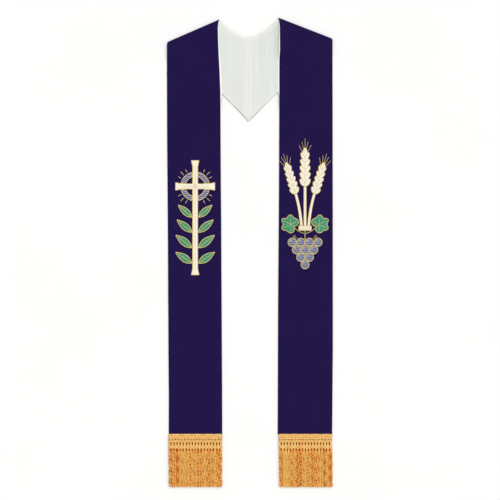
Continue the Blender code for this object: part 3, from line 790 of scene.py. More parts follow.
def filled(outline, spacing):
    """Points and triangles that fill an outline evenly, its own points first."""
    low, high = outline.min(axis=0), outline.max(axis=0)
    rows = np.arange(low[1], high[1], spacing * math.sqrt(0.75))
    columns = np.arange(low[0], high[0] + spacing, spacing)
    x, y = np.meshgrid(columns, rows)
    x[1::2] += spacing / 2
    grid = np.stack([x.ravel(), y.ravel()], -1)
    grid = grid[is_inside(grid, outline)]
    grid = grid[off_line(grid, outline) > spacing * 0.45] if len(grid) else grid
    points = np.concatenate([outline, grid]) if len(grid) else outline
    edges = [(i, (i + 1) % len(outline)) for i in range(len(outline))]
    found = geometry.delaunay_2d_cdt([Vector(p) for p in points.tolist()], edges, [], 1, 1e-7)
    return points, [tuple(face) for face in found[2]]


def patch(node, side, outline, finish, slot, at, degrees=0.0, carving=None):
    """A padded patch on a front. Its outline and carving are given before it is turned and placed."""
    flat, triangles = filled(outline, PATCH_GRID)
    count, rim = len(flat), len(outline)
    inset = off_line(flat, outline)
    high = PATCH_HIGH * (1 - np.exp(-inset / PATCH_ROUNDING))
    if carving is not None:
        high = high + carving(flat) * eased(inset / PATCH_ROUNDING)
    placed = turned(flat, degrees, at)
    ground = front_height(side, placed[:, 0], placed[:, 1]) + PATCH_BASE
    low = np.column_stack([placed, ground])
    top = np.column_stack([placed, ground + PATCH_RIM + high])
    faces = []
    for corners in triangles:
        up = corners if signed_area(placed[list(corners)]) > 0 else corners[::-1]
        faces.append(up)
        faces.append(tuple(count + i for i in reversed(up)))
    around = signed_area(placed[:rim]) > 0
    for i in range(rim):
        j = (i + 1) % rim
        skirt = (i, count + i, count + j, j)
        faces.append(skirt if around else skirt[::-1])
    threads = np.column_stack([flat, np.zeros(count)])
    points, threads = np.concatenate([top, low]), np.concatenate([threads, threads])
    made = piece_of(f"{node}_patch", points, faces, finish, threads)
    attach(made, "root")
    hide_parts(node)
    sewn_on[side].append(made)


ivory = Finish("ivory_brocade", roughness=0.42, specular=0.35, sheen=0.15, sheen_roughness=0.3)
across, along, _ = ivory.threads()
damask = ivory.sum("MULTIPLY", ivory.ripple(across, DAMASK[0]), ivory.ripple(along, DAMASK[1]))
both_ways = [ivory.ripple(run, IVORY_THREAD) for run in (across, along)]
threads = ivory.sum("MULTIPLY", *both_ways)
fleck = ivory.noise(ivory.places(), scale=1300.0, detail=2.0)
figure = ivory.scaled(damask, 0.5)
ground_colour = ivory.ramp(figure, *zip((0.2, 0.5, 0.85), IVORIES))
sparkle = ivory.ramp(fleck, *zip((0.3, 0.47), IVORY_FLECKS))
ivory.colour(ivory.blended(0.45, ground_colour, sparkle, "MULTIPLY"))
ivory.relief((figure, 0.00012), (ivory.scaled(threads, 0.5), 0.00005))

sheen = {"sheen": 0.15, "sheen_roughness": 0.3, "tint": (190, 200, 255)}
blue = Finish("blue_wave_brocade", roughness=0.45, specular=0.35, **sheen)
across, along, _ = blue.threads()
sway = blue.scaled(blue.ripple(across, WAVE_LENGTH), WAVE_HIGH, along)
crest = blue.swell(sway, WAVE_PITCH)
woven = blue.noise(blue.places(), scale=1100.0, detail=2.0)
uneven = blue.scaled(woven, 0.7, blue.sum("SUBTRACT", crest, 0.35))
blue.colour(blue.ramp(uneven, *zip((0.25, 0.45, 0.66, 0.88), BLUES)))
blue.relief((crest, 0.00016), (blue.swell(across, BLUE_THREAD), 0.00005))

patch("cross", "left", evenly(cross_outline(), CROSS_STEP), ivory, "ivory_brocade", CROSS_AT)
for quarter in range(4):
    outline = turned(evenly(ring_quarter_outline(), CROSS_STEP), 90 * quarter)
    patch(f"ring_quarter_{quarter + 1}", "left", outline, blue, "blue_brocade", CROSS_AT)

# The laurel, on the left front. Four pairs of leaves in green satin over felt grow from the cross's
# shaft, each grooved where its midrib is stitched through.

LAUREL = (
    # distance below the crossing, leaf length, leaf width, lean from upright in degrees
    (0.074, 0.044, 0.0150, 48.0),
    (0.110, 0.047, 0.0160, 50.0),
    (0.147, 0.049, 0.0170, 52.0),
    (0.184, 0.047, 0.0170, 56.0),
)
LAUREL_OFF_BAR = 0.0020
LAUREL_STEP = 0.0012
LAUREL_GROOVE = (0.00040, 0.0009)  # depth, width
LAUREL_VEINS = 6
LAUREL_VEIN_DEEP = 0.00010
LAUREL_VEIN_RISE = 0.9
SATIN_THREAD = 0.0007
GREENS = ((34, 118, 82), (50, 150, 108), (92, 178, 142))


def leaf_outline(length, width, steps=28):
    """A laurel leaf, pointed at both ends, with its base at the origin and its tip up."""
    share = np.arange(1, steps) / steps
    x, y = width / 2 * np.sin(np.pi * share**0.85), length * share
    right, left = np.stack([x, y], -1), np.stack([-x, y], -1)[::-1]
    return np.concatenate([[[0.0, 0.0]], right, [[0.0, length]], left])


def leaf_carving(length):
    """A groove for a leaf's midrib, and shallow ones where its side veins run."""
    deep, wide = LAUREL_GROOVE

    def carve(points):
        x, y = np.abs(points[:, 0]), points[:, 1]
        veins = np.cos(2 * np.pi * (y - LAUREL_VEIN_RISE * x) / (length / LAUREL_VEINS))
        return -deep * np.exp(-((x / wide) ** 2)) + LAUREL_VEIN_DEEP * veins

    return carve


sheen = {"sheen": 0.2, "sheen_roughness": 0.3, "tint": (170, 255, 210)}
green = Finish("green_satin", roughness=0.38, specular=0.4, **sheen)
across, along, _ = green.threads()
slant = green.scaled(green.sum("ABSOLUTE", across), -0.8, along)
satin = green.swell(slant, SATIN_THREAD)
# The lustre noise makes the green lighter and darker in blotches, partly painted sheen; it also raises the
# relief.
lustre = green.noise(green.places(), scale=420.0, detail=3.0)
pattern_and_painted_light = green.scaled(satin, 0.25, green.sum("MULTIPLY", lustre, 0.8))
green.colour(green.ramp(pattern_and_painted_light, *zip((0.25, 0.55, 0.8), GREENS)))
green.relief((satin, 0.00012), (lustre, 0.00010))

laurel_places = []
for drop, length, width, lean in LAUREL:
    for sign in (-1.0, 1.0):
        at = (CROSS_AT[0] + sign * (CROSS_HALF_BAR + LAUREL_OFF_BAR), CROSS_AT[1] - drop)
        laurel_places.append((at, -sign * lean, length, width))
for number, (at, lean, length, width) in enumerate(laurel_places, 1):
    outline = evenly(leaf_outline(length, width), LAUREL_STEP, soften=0)
    place = (at, lean, leaf_carving(length))
    patch(f"laurel_leaf_{number}", "left", outline, green, "green_satin", *place)

# The wheat, on the right front. Three ears, their stalks and the tie that holds them are cut from the
# ivory brocade, and the ears are padded and stitched through between their grains.

HARVEST_AT = (0.1325, 0.1000)
EARS = (
    # base x, base y, length, width, lean from upright in degrees
    (-0.0225, 0.0400, 0.080, 0.0230, 17.0),
    (0.0, 0.0580, 0.094, 0.0260, 0.0),
    (0.0225, 0.0400, 0.080, 0.0230, -17.0),
)
EAR_LOBES = 5
EAR_STEP = 0.0011
EAR_GROOVE = (0.00055, 0.0011, 0.00015)  # depth, width, padding
STALK_WIDTH = 0.0056
STALK_PITCH = 0.0088
STALK_BEND = 0.036
STALK_STEP = 0.0012
STALK_CLEAR = 0.0006
TIE = (0.0300, 0.0110)  # width, height
TIE_Y = -0.0420


def in_harvest(x, y):
    """A place given from the middle of the right front's applique, as a place on the stole."""
    return HARVEST_AT[0] + x, HARVEST_AT[1] + y


def pointing(degrees):
    """A step of length 1 that leans by an angle, clockwise from straight up."""
    return np.array([math.sin(math.radians(degrees)), math.cos(math.radians(degrees))])


def bent_line(start, bend, end, steps=20):
    """A curve through two ends, bent by one point between them."""
    t = np.linspace(0, 1, steps)[:, None]
    start, bend, end = (np.asarray(point, float) for point in (start, bend, end))
    return (1 - t) ** 2 * start + 2 * t * (1 - t) * bend + t**2 * end


def strip_outline(line, width):
    """A strip of even width along a line."""
    run = np.gradient(line, axis=0)
    run = run / np.linalg.norm(run, axis=-1, keepdims=True)
    side = np.stack([-run[:, 1], run[:, 0]], -1) * width / 2
    return np.concatenate([line + side, (line - side)[::-1]])


def stalk_line(ear, slot):
    """A stalk's middle, from its ear's base down to its place above the tie."""
    base_x, base_y, _, _, lean = ear
    down = pointing(180.0 - lean)
    start = np.array([base_x, base_y]) + down * STALK_CLEAR
    end = np.array([slot * STALK_PITCH, TIE_Y + TIE[1] / 2 + STALK_CLEAR])
    bend = start + down * STALK_BEND if slot else (start + end) / 2
    return bent_line(start, bend, end)


def ear_outline(length, width):
    """An ear of wheat whose grains stand out in pairs up to one at the tip."""
    right = [(0.0011, 0.0)]
    lobe = length / (EAR_LOBES + 1)
    for i in range(EAR_LOBES):
        taper = 1.0 - 0.30 * (i / EAR_LOBES) ** 2
        low = i * lobe
        right += [
            (width / 2 * 0.58 * taper, low + 0.18 * lobe),
            (width / 2 * 0.92 * taper, low + 0.62 * lobe),
            (width / 2 * taper, low + 1.08 * lobe),
        ]
    right += [(width / 2 * 0.40, length - 0.72 * lobe), (width / 2 * 0.30, length - 0.35 * lobe)]
    return np.array([*right, (0.0, length), *[(-x, y) for x, y in reversed(right)]])


def ear_grain_lines(length, width):
    """The lines between an ear's grains: up its middle, and out and up to each side."""
    lobe = length / (EAR_LOBES + 1)
    lines = [np.array([(0.0, 0.02 * length), (0.0, length - 0.4 * lobe)])]
    for i in range(EAR_LOBES):
        taper = 1.0 - 0.30 * (i / EAR_LOBES) ** 2
        for sign in (-1.0, 1.0):
            root, out = (0.0, (i + 0.55) * lobe), (sign * width / 2 * 0.66 * taper, (i + 1.26) * lobe)
            lines.append(bent_line(root, (sign * width * 0.20, (i + 0.72) * lobe), out, 8))
    return lines


def grooved(lines, deep, wide, raised):
    """A carving that raises a patch and sinks a groove along each line."""

    def carve(points):
        nearest = np.min([off_line(points, line, closed=False) for line in lines], axis=0)
        return raised - deep * np.exp(-((nearest / wide) ** 2))

    return carve


def ear_carving(length, width):
    """Grooves between an ear's grains."""
    return grooved(ear_grain_lines(length, width), *EAR_GROOVE)


for number, (x, y, length, width, lean) in enumerate(EARS, 1):
    outline = evenly(ear_outline(length, width), EAR_STEP, soften=2)
    place = (in_harvest(x, y), lean, ear_carving(length, width))
    patch(f"wheat_ear_{number}", "right", outline, ivory, "ivory_brocade", *place)
for number, ear in enumerate(EARS, 1):
    outline = strip_outline(stalk_line(ear, number - 2), STALK_WIDTH)
    outline = evenly(outline, STALK_STEP, soften=0)
    patch(f"wheat_stalk_{number}", "right", outline, ivory, "ivory_brocade", HARVEST_AT)
half, tall = TIE[0] / 2, TIE[1] / 2
tie_outline = evenly([(-half, -tall), (half, -tall), (half, tall), (-half, tall)], STALK_STEP)
patch("stalk_tie", "right", tie_outline, ivory, "ivory_brocade", in_harvest(0.0, TIE_Y))

# The vine leaves and the grapes, on the right front below the wheat. The leaves are green satin, stitched
# through along five veins, and the ten grapes are rounds of the blue brocade with more padding.

VINE_LEAVES = (
    # centre x, centre y, reach, turn in degrees
    (-0.0350, -0.0330, 0.0245, 60.0),
    (0.0350, -0.0330, 0.0245, -60.0),
)
VINE_OUTLINE = (
    # degrees from the tip, share of the leaf's reach
    (0.0, 1.00),
    (14.0, 0.84),
    (30.0, 0.68),
    (44.0, 0.84),
    (58.0, 0.95),
    (72.0, 0.86),
    (90.0, 0.70),
    (106.0, 0.80),
    (122.0, 0.86),
    (140.0, 0.80),
    (158.0, 0.66),
    (170.0, 0.52),
    (180.0, 0.28),
)
VINE_VEINS = (0.0, 58.0, -58.0, 122.0, -122.0)
VINE_MEET = 0.12
VINE_GROOVE = (0.00045, 0.0012, 0.0002)  # depth, width, padding
GRAPE = 0.0196
GRAPE_PITCH = 0.0207
GRAPE_ROWS = 4
GRAPE_CROWN = 0.0006
GRAPES_TOP_Y = -0.0760


def vine_outline(reach, steps=6):
    """A five-lobed vine leaf with its tip up, notched at its stem."""
    rows = np.array(VINE_OUTLINE)
    angles = np.concatenate([rows[:, 0], 360.0 - rows[-2:0:-1, 0]])
    shares = np.concatenate([rows[:, 1], rows[-2:0:-1, 1]])
    radians = np.radians(angles)
    outline = np.stack([reach * shares * np.sin(radians), reach * shares * np.cos(radians)], -1)
    return evenly(outline, reach / steps / 4, soften=3)


def vine_carving(reach):
    """Grooves for a vine leaf's five veins, which meet above its stem."""
    start = (0.0, -VINE_MEET * reach)
    lines = [np.array([start, pointing(angle) * reach * 0.8]) for angle in VINE_VEINS]
    return grooved(lines, *VINE_GROOVE)


def round_outline(diameter, sides=48):
    """A circle about the origin."""
    angles = np.linspace(0, 2 * np.pi, sides, endpoint=False)
    return diameter / 2 * np.stack([np.cos(angles), np.sin(angles)], -1)


def grape_carving(points):
    """A grape's round crown."""
    return GRAPE_CROWN * (1 - (np.linalg.norm(points, axis=-1) / (GRAPE / 2)) ** 2)


for number, (x, y, reach, turn) in enumerate(VINE_LEAVES, 1):
    place = (in_harvest(x, y), turn, vine_carving(reach))
    patch(f"vine_leaf_{number}", "right", vine_outline(reach), green, "green_satin", *place)
grape_places = []
for row in range(GRAPE_ROWS):
    for i in range(GRAPE_ROWS - row):
        x = (i - (GRAPE_ROWS - row - 1) / 2) * GRAPE_PITCH
        grape_places.append(in_harvest(x, GRAPES_TOP_Y - row * GRAPE_PITCH * math.sqrt(0.75)))
for number, at in enumerate(grape_places, 1):
    place = (at, 0.0, grape_carving)
    patch(f"grape_{number:02d}", "right", round_outline(GRAPE), blue, "blue_brocade", *place)

# The couched gold: a two-ply gold cord, laid on the surface and sewn over with a fine thread. It covers
# the cut edge of every patch. Finer cord draws the leaves' veins, the ears' grains and awns, the rays
# between the cross's arms, and the tendrils.

EDGE_CORD = (0.0018, 0.0014)  # width, height, as in the next two
SLIM_CORD = (0.0013, 0.0011)
FINE_CORD = (0.0009, 0.0008)
CORD_PITCH = 0.0042
CORD_SINK = 0.0002
CORD_STEP = 0.0009
CORD_SIDES = 8
INLAID = PATCH_HIGH - 0.0003
GOLDS = ((158, 114, 28), (242, 208, 104), (255, 248, 196))
GOLD_THREAD = 0.0007
RAY_SPAN = (0.0385, 0.0500)  # from and to, out from the crossing
RAY_SHORTER = 0.003
RAY_ANGLES = (60.0, 45.0, 30.0)  # degrees from upright
SPINE_CLEAR = 0.012
CROSSING = 0.0092
AWN_REACH = 0.021
AWN_SPREADS = (-22.0, -11.0, 0.0, 11.0, 22.0)  # degrees from the ear's own line
LAUREL_MIDRIB = (-0.0035, 0.84)  # its start, and its end as a share of the leaf
VINE_VEIN = 0.72
VINE_STEM = (0.0040, 0.0160, 0.0020, 0.0130)  # start and bend below the leaf, foot beside and below the tie
TIE_WRAPS = (-0.010, -0.005, 0.0, 0.005, 0.010)  # x from the tie's middle
TIE_WRAP_SLANT = 0.0012
TENDRIL = (0.0240, -0.0170, 0.0052, 1.4)  # x and y from the tie, size, turns


def tube(path, wide, tall, sides, pitch, closed=False, lobe=0.14, tone=0.5, hollow=0.0):
    """A two-ply cord along a path, as points, faces and where its threads lie.

    Its tone is one shade or one for each point, and the hollow between its plies is painted that much
    darker, as painted shade.
    """
    path = np.asarray(path, float)
    if closed:
        run = np.roll(path, -1, axis=0) - np.roll(path, 1, axis=0)
        steps = np.linalg.norm(np.roll(path, -1, axis=0) - path, axis=-1)
        length = steps.sum()
        pitch = length / max(1, round(length / pitch))
        along = np.concatenate([[0.0], np.cumsum(steps)[:-1]])
    else:
        run = np.gradient(path, axis=0)
        steps = np.linalg.norm(np.diff(path, axis=0), axis=-1)
        along = np.concatenate([[0.0], np.cumsum(steps)])
    run = run / np.maximum(np.linalg.norm(run, axis=-1, keepdims=True), 1e-9)
    side = np.cross(run, [0.0, 0.0, 1.0])
    side = side / np.maximum(np.linalg.norm(side, axis=-1, keepdims=True), 1e-9)
    rise = np.cross(side, run)
    around = np.linspace(0, 2 * np.pi, sides, endpoint=False)
    swell = 1 + lobe * np.cos(2 * (around[None, :] - 2 * np.pi * along[:, None] / pitch))
    if not closed:
        ends = np.minimum(along, along[-1] - along)
        swell = swell * np.sqrt(np.clip(ends / (wide / 2), 0.12, 1.0))[:, None]
    across = (wide / 2 * np.cos(around)[None, :] * swell)[..., None] * side[:, None]
    upward = (tall / 2 * np.sin(around)[None, :] * swell)[..., None] * rise[:, None]
    points = (path[:, None] + across + upward).reshape(-1, 3)
    rows = len(path)
    row, column = np.meshgrid(np.arange(rows if closed else rows - 1), np.arange(sides), indexing="ij")
    row, column = row.ravel(), column.ravel()
    rings, columns = np.stack([row, row, row + 1, row + 1], -1), np.stack([column, column + 1] * 2, -1)
    columns[:, 2:] = columns[:, 3:1:-1]
    faces = rings % rows * sides + columns % sides
    run_at = np.concatenate([along, [length]])[rings] if closed else along[rings]
    # Painted shade: the colour darkens in the hollow between the two plies.
    ply = np.cos(4 * np.pi * (columns / sides - run_at / pitch))
    shade = np.broadcast_to(tone, rows)[rings % rows] + hollow / 2 * ply
    threads = np.stack([run_at, columns * (math.pi * wide / sides), shade], axis=-1)
    if not closed:
        fan = np.array([(0, k, k + 1, k + 2) for k in range(1, sides - 2, 2)])
        last = (rows - 1) * sides
        faces = np.concatenate([faces, fan[:, ::-1], fan + last])
        ends = np.zeros((2 * len(fan), 4, 3))
        ends[..., 2] = np.mean(tone)
        threads = np.concatenate([threads, ends])
    return points, faces, threads


class Gathered:
    """Many cords or threads, joined into one piece."""

    def __init__(self):
        self.points, self.faces, self.threads, self.count = [], [], [], 0

    def add(self, points, faces, threads):
        """Adds one cord."""
        self.points.append(points)
        self.threads.append(threads)
        self.faces.append(faces + self.count)
        self.count += len(points)

    def piece(self, name, finish, slot):
        """All that was added, as one mesh object that rides the stole."""
        faces = np.concatenate(self.faces).tolist()
        points, threads = np.concatenate(self.points), np.concatenate(self.threads)
        made = piece_of(name, points, faces, finish, threads, "CORNER", crease=100.0)
        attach(made, "root")
        return made


class Couching(Gathered):
    """The gold cords that are laid on one front."""

    def __init__(self, side):
        super().__init__()
        self.side = side

    def lay(self, line, size, at, degrees=0.0, closed=False, raised=0.0, tone=0.5):
        """Lays a cord along a line that is turned and moved to its place, raised if it is on a patch."""
        wide, tall = size
        line = evenly(turned(line, degrees, at), CORD_STEP, closed=closed, soften=2)
        height = front_height(self.side, line[:, 0], line[:, 1]) + raised + tall / 2 - CORD_SINK
        path = np.column_stack([line, height])
        self.add(*tube(path, wide, tall, CORD_SIDES, CORD_PITCH, closed=closed, tone=tone))


def curl(at, start, reach, turns, flip):
    """A tendril that winds in on itself."""
    share = np.linspace(0, 1, 60)
    angle = start + flip * share * turns * 2 * np.pi
    radius = reach * (1 - 0.86 * share)
    centre = np.array(at)
    first = np.array([math.cos(start), math.sin(start)]) * reach
    return centre - first + np.stack([radius * np.cos(angle), radius * np.sin(angle)], -1)


sheen = {"sheen": 0.1, "sheen_roughness": 0.3, "tint": (255, 230, 170)}
gold = Finish("gold_cord", roughness=0.34, specular=0.5, **sheen)
along, around, tone = gold.threads()
gold.set(gold.shader, "Metallic", 0.25)
ply = gold.scaled(around, CORD_PITCH / (math.pi * EDGE_CORD[0]) * 2, along)
strand = gold.swell(ply, GOLD_THREAD)
# Small spots of painted glint lighten the gold's colour.
painted_glint = gold.noise(gold.places(), scale=700.0, detail=2.0)
pattern_and_painted_light = gold.scaled(strand, 0.35, gold.scaled(tone, 0.3, gold.scaled(painted_glint, 0.7, -0.14)))
gold.colour(gold.ramp(pattern_and_painted_light, *zip((0.15, 0.5, 0.85), GOLDS)))
gold.relief((strand, 0.00012))

left_gold, right_gold = Couching("left"), Couching("right")
left_gold.lay(cross_outline(), EDGE_CORD, CROSS_AT, closed=True)
for quarter in range(4):
    left_gold.lay(ring_quarter_outline(), EDGE_CORD, CROSS_AT, 90 * quarter, closed=True)
    for angle in RAY_ANGLES:
        start, end = RAY_SPAN if angle == 45.0 else (RAY_SPAN[0], RAY_SPAN[1] - RAY_SHORTER)
        ray = [pointing(angle) * start, pointing(angle) * end]
        left_gold.lay(ray, SLIM_CORD, CROSS_AT, 90 * quarter, tone=0.7)
for at, lean, length, width in laurel_places:
    left_gold.lay(leaf_outline(length, width), EDGE_CORD, at, lean, closed=True)
    midrib = [(0.0, LAUREL_MIDRIB[0]), (0.0, length * LAUREL_MIDRIB[1])]
    left_gold.lay(midrib, SLIM_CORD, at, lean, raised=INLAID)
spine = [(0.0, CROSS_UP - SPINE_CLEAR), (0.0, -CROSS_DOWN + SPINE_CLEAR)]
left_gold.lay(spine, FINE_CORD, CROSS_AT, raised=PATCH_HIGH, tone=0.3)
beam = [(-CROSS_SIDE + SPINE_CLEAR, 0.0), (CROSS_SIDE - SPINE_CLEAR, 0.0)]
left_gold.lay(beam, FINE_CORD, CROSS_AT, raised=PATCH_HIGH, tone=0.3)
left_gold.lay(round_outline(CROSSING), SLIM_CORD, CROSS_AT, closed=True, raised=PATCH_HIGH)

for number, (x, y, length, width, lean) in enumerate(EARS):
    at = in_harvest(x, y)
    outline = evenly(ear_outline(length, width), EAR_STEP, soften=2)
    right_gold.lay(outline, EDGE_CORD, at, lean, closed=True)
    for line in ear_grain_lines(length, width):
        right_gold.lay(line, FINE_CORD, at, lean, raised=INLAID, tone=0.3)
    lobe = length / (EAR_LOBES + 1)
    for spread in AWN_SPREADS:
        out, share = pointing(spread), spread / AWN_SPREADS[-1]
        root = np.array([share * width * 0.22, length - abs(share) * lobe * 0.9])
        tip = root + out * AWN_REACH + (spread * 0.00006, 0.0)
        awn = bent_line(root, root + out * AWN_REACH * 0.5, tip, 8)
        right_gold.lay(awn, FINE_CORD, at, lean, tone=0.6)
    stalk = strip_outline(stalk_line(EARS[number], number - 1), STALK_WIDTH)
    right_gold.lay(stalk, SLIM_CORD, HARVEST_AT, closed=True)
right_gold.lay(tie_outline, EDGE_CORD, in_harvest(0.0, TIE_Y), closed=True)
for x in TIE_WRAPS:
    wrap = [(x - TIE_WRAP_SLANT, -TIE[1] / 2), (x + TIE_WRAP_SLANT, TIE[1] / 2)]
    right_gold.lay(wrap, SLIM_CORD, in_harvest(0.0, TIE_Y), raised=INLAID)
for x, y, reach, turn in VINE_LEAVES:
    at = in_harvest(x, y)
    right_gold.lay(vine_outline(reach), EDGE_CORD, at, turn, closed=True)
    for angle in VINE_VEINS:
        out = pointing(angle) * reach * VINE_VEIN
        vein = bent_line((0.0, -VINE_MEET * reach), out * 0.5, out, 8)
        right_gold.lay(vein, FINE_CORD, at, turn, raised=INLAID)
    flip = math.copysign(1.0, x)
    below, bent, aside, under_tie = VINE_STEM
    bend, foot = (x * 0.60, y - bent), (flip * aside, TIE_Y - under_tie)
    stem = bent_line((x * 0.80, y - below), bend, foot)
    right_gold.lay(stem, SLIM_CORD, HARVEST_AT)
    out, down, size, turns = TENDRIL
    tendril = curl((flip * out, TIE_Y + down), math.pi / 2, size, turns * flip, -1.0)
    right_gold.lay(tendril, FINE_CORD, HARVEST_AT, tone=0.6)
trunk = [(0.0, TIE_Y - TIE[1] / 2), (0.0, GRAPES_TOP_Y + GRAPE * 0.25)]
right_gold.lay(trunk, EDGE_CORD, HARVEST_AT)
arc = np.radians(np.linspace(100, 165, 12))
shine = GRAPE * 0.27 * np.stack([np.cos(arc), np.sin(arc)], -1)
for at in grape_places:
    right_gold.lay(round_outline(GRAPE), EDGE_CORD, at, closed=True)
    right_gold.lay(shine, SLIM_CORD, at, raised=PATCH_HIGH + 0.0002, tone=0.9)
for side, laid in (("left", left_gold), ("right", right_gold)):
    sewn_on[side].append(laid.piece(f"gold_cord_{side}", gold, "ivory_brocade"))

# The fringe: gold rayon, crocheted in one strip. A band of chains laps the hem and is sewn down along
# its top edge. Two rows of open ladder hang below it, and each rung opens out into three twisted
# strands, with as many behind.

FRINGE_SPANS = {"left": (-0.1950, -0.0662), "right": (0.0693, 0.1973)}
LAPPED_SPANS = {"left": (-0.1955, -0.0662), "right": (0.0685, 0.1976)}
FRINGE_LENGTH = HEADING_TOP_Y + HALF_LENGTH
HEADING_HIGH = (0.0036, 0.0046)  # at its top edge, at its foot
HEADING_DROP = 0.0411
HEADING_EDGE = 0.0004
RUNGS_ACROSS = 18
RUNG_HALF = 0.0025
CHAINS = (
    # distance below the top edge, width
    (0.0011, 0.0023),
    (0.0032, 0.0022),
    (0.0053, 0.0022),
    (0.0074, 0.0022),
    (0.0095, 0.0022),
    (0.0116, 0.0022),
    (0.0163, 0.0021),
    (0.0181, 0.0021),
    (0.0285, 0.0025),
    (0.0310, 0.0026),
    (0.0336, 0.0027),
)
EYELETS = (0.0120, 0.0163)  # distance below the top edge, as in RUNGS
EYELET_BAR = (0.0022, 0.0010)  # width, distance from the gap's middle
EYELET_SINK = 0.0013
EYELET_PITCH = 0.0040
RUNGS = (0.0178, 0.0292)
RUNG_CORD = 0.0025
RUNG_OFFSET = 0.00118
RUNG_SPLAY = (1.22, 0.34)  # at a rung's ends, less at its middle
RUNG_SINK = (0.0012, 0.0005)  # in general, more at its ends and middle
RUNG_PITCH = 0.0045
CHAIN_PITCH = 0.0062
CHAIN_POINTS = 240
CHAIN_WANDER = (0.00008, 0.0037)  # distance, wave
CHAIN_TONE = (0.36, 0.2)  # least, spread
BAR_TONE = (0.3, 0.4)  # least, spread
STITCH_ROWS = (0.0032, 0.0074)  # distance below the top edge
STITCH = (0.0024, 0.00055, 0.0036)  # length, width, step to the next
STITCH_BOW = 0.0002
STITCH_SINK = 0.0001
STITCH_FROM = 0.002
STRAND_SPANS = {"left": (-0.1946, -0.0660), "right": (0.0698, 0.1984)}
STRANDS_PER_RUNG = 3
STRANDS = (0.0026, 0.00205)  # width in the lower layer, in the upper
STRAND_PITCH = 0.0070
LAYER_HEIGHTS = (0.00155, 0.00365)  # the lower, the upper
LEAN = 0.0005
SWAY = 0.0006
SWAY_WAVE = 0.050
UPPER_FROM = 0.0318
LOWER_FROM = 0.0368
FAN = (0.0405, 0.0520)  # where the strands begin to part, and hang free
TIED_SINK = (0.0013, 0.0009)  # in general, more where they begin
TIED_OVER = 0.004
CURLED_OVER = 0.02
SETTLED_OVER = 0.03
ENDS = (-0.0010, 0.0014)  # shorter, longer
STRAND_STEP = 0.0009
STRAND_WAVES = (0.016, 0.036)  # least, most
STRAND_SWING = (0.00020, 0.00070)  # least, most
STRAND_RISE = 0.00022
STRAND_WIDTHS = (0.93, 1.06)  # least, most, as shares
STRAND_TWISTS = (0.84, 1.16)  # least, most, as shares of the pitch
RAYON = ((150, 54, 4), (255, 132, 34), (255, 167, 66), (255, 210, 116))
# How much darker the hollows between plies are painted, as painted shade: in the strands, bars and rungs,
# and in the chains.
PLY_PAINTED_SHADE = 0.65
CHAIN_PAINTED_SHADE = 0.9
STRAND_UNEVEN = 0.60
BUNCH_UNEVEN = 0.10
DRIFT_WAVES = (0.0260, 0.0091)  # along a cord
STRAND_DRIFT = 0.20
CHAIN_DRIFT = 0.17
CHAIN_RAYON = ((216, 101, 18), (255, 174, 81), (255, 202, 109), (255, 231, 158))
BACKING_RAYON_PAINTED_SHADE = ((146, 62, 0), (198, 98, 6))
BACKING_KNIT = (0.0018, 0.0016)  # pitch across, along
BACKING_DROPS = (0.0006, HEM_LAP, HEM_LAP + 0.0006, 0.018, 0.028, HEADING_DROP)  # below the top edge
BACKING_SINK = 0.0017
RAYON_THREAD = 0.00075


def heading_top(drop):
    """The height of the heading's face at a distance below its top edge."""
    low, high = HEADING_HIGH
    return low + (high - low) * np.clip(np.asarray(drop) / HEADING_DROP, 0.0, 1.0)


def rung_centres(side):
    """Where the ladder's rungs stand across a fringe."""
    low, high = FRINGE_SPANS[side]
    return np.linspace(low + RUNG_HALF, high - RUNG_HALF, RUNGS_ACROSS)


def drifting(run, shade, chance):
    """How a cord's shade wanders along its own length."""
    return sum(shade * np.sin(2 * np.pi * (run / wave + chance.random())) for wave in DRIFT_WAVES)


def across_cord(gathered, span, drop, width, flip, chance):
    """One chain of the crochet, across the whole strip."""
    low, high = span
    x = np.linspace(low + width * 0.2, high - width * 0.2, CHAIN_POINTS)
    wander = CHAIN_WANDER[0] * np.sin(x / CHAIN_WANDER[1] + chance.uniform(0, 6))
    y = HEADING_TOP_Y - drop + wander
    z = heading_top(drop) - width * 0.42 + 0 * x
    line = np.stack([x, y, z], -1)
    tone = CHAIN_TONE[0] + CHAIN_TONE[1] * chance.random() + drifting(x, CHAIN_DRIFT, chance)
    form = {"pitch": flip * CHAIN_PITCH, "lobe": 0.2, "hollow": CHAIN_PAINTED_SHADE}
    gathered.add(*tube(line, width, width * 0.8, 8, tone=tone, **form))


def short_cord(gathered, line, width, chance, lobe=0.16, sides=6, pitch=STRAND_PITCH):
    """A bar, rung or stitch of the crochet, in one shade from end to end."""
    tone = BAR_TONE[0] + BAR_TONE[1] * chance.random()
    form = {"lobe": lobe, "hollow": PLY_PAINTED_SHADE}
    gathered.add(*tube(line, width, width * 0.92, sides, pitch, tone=tone, **form))


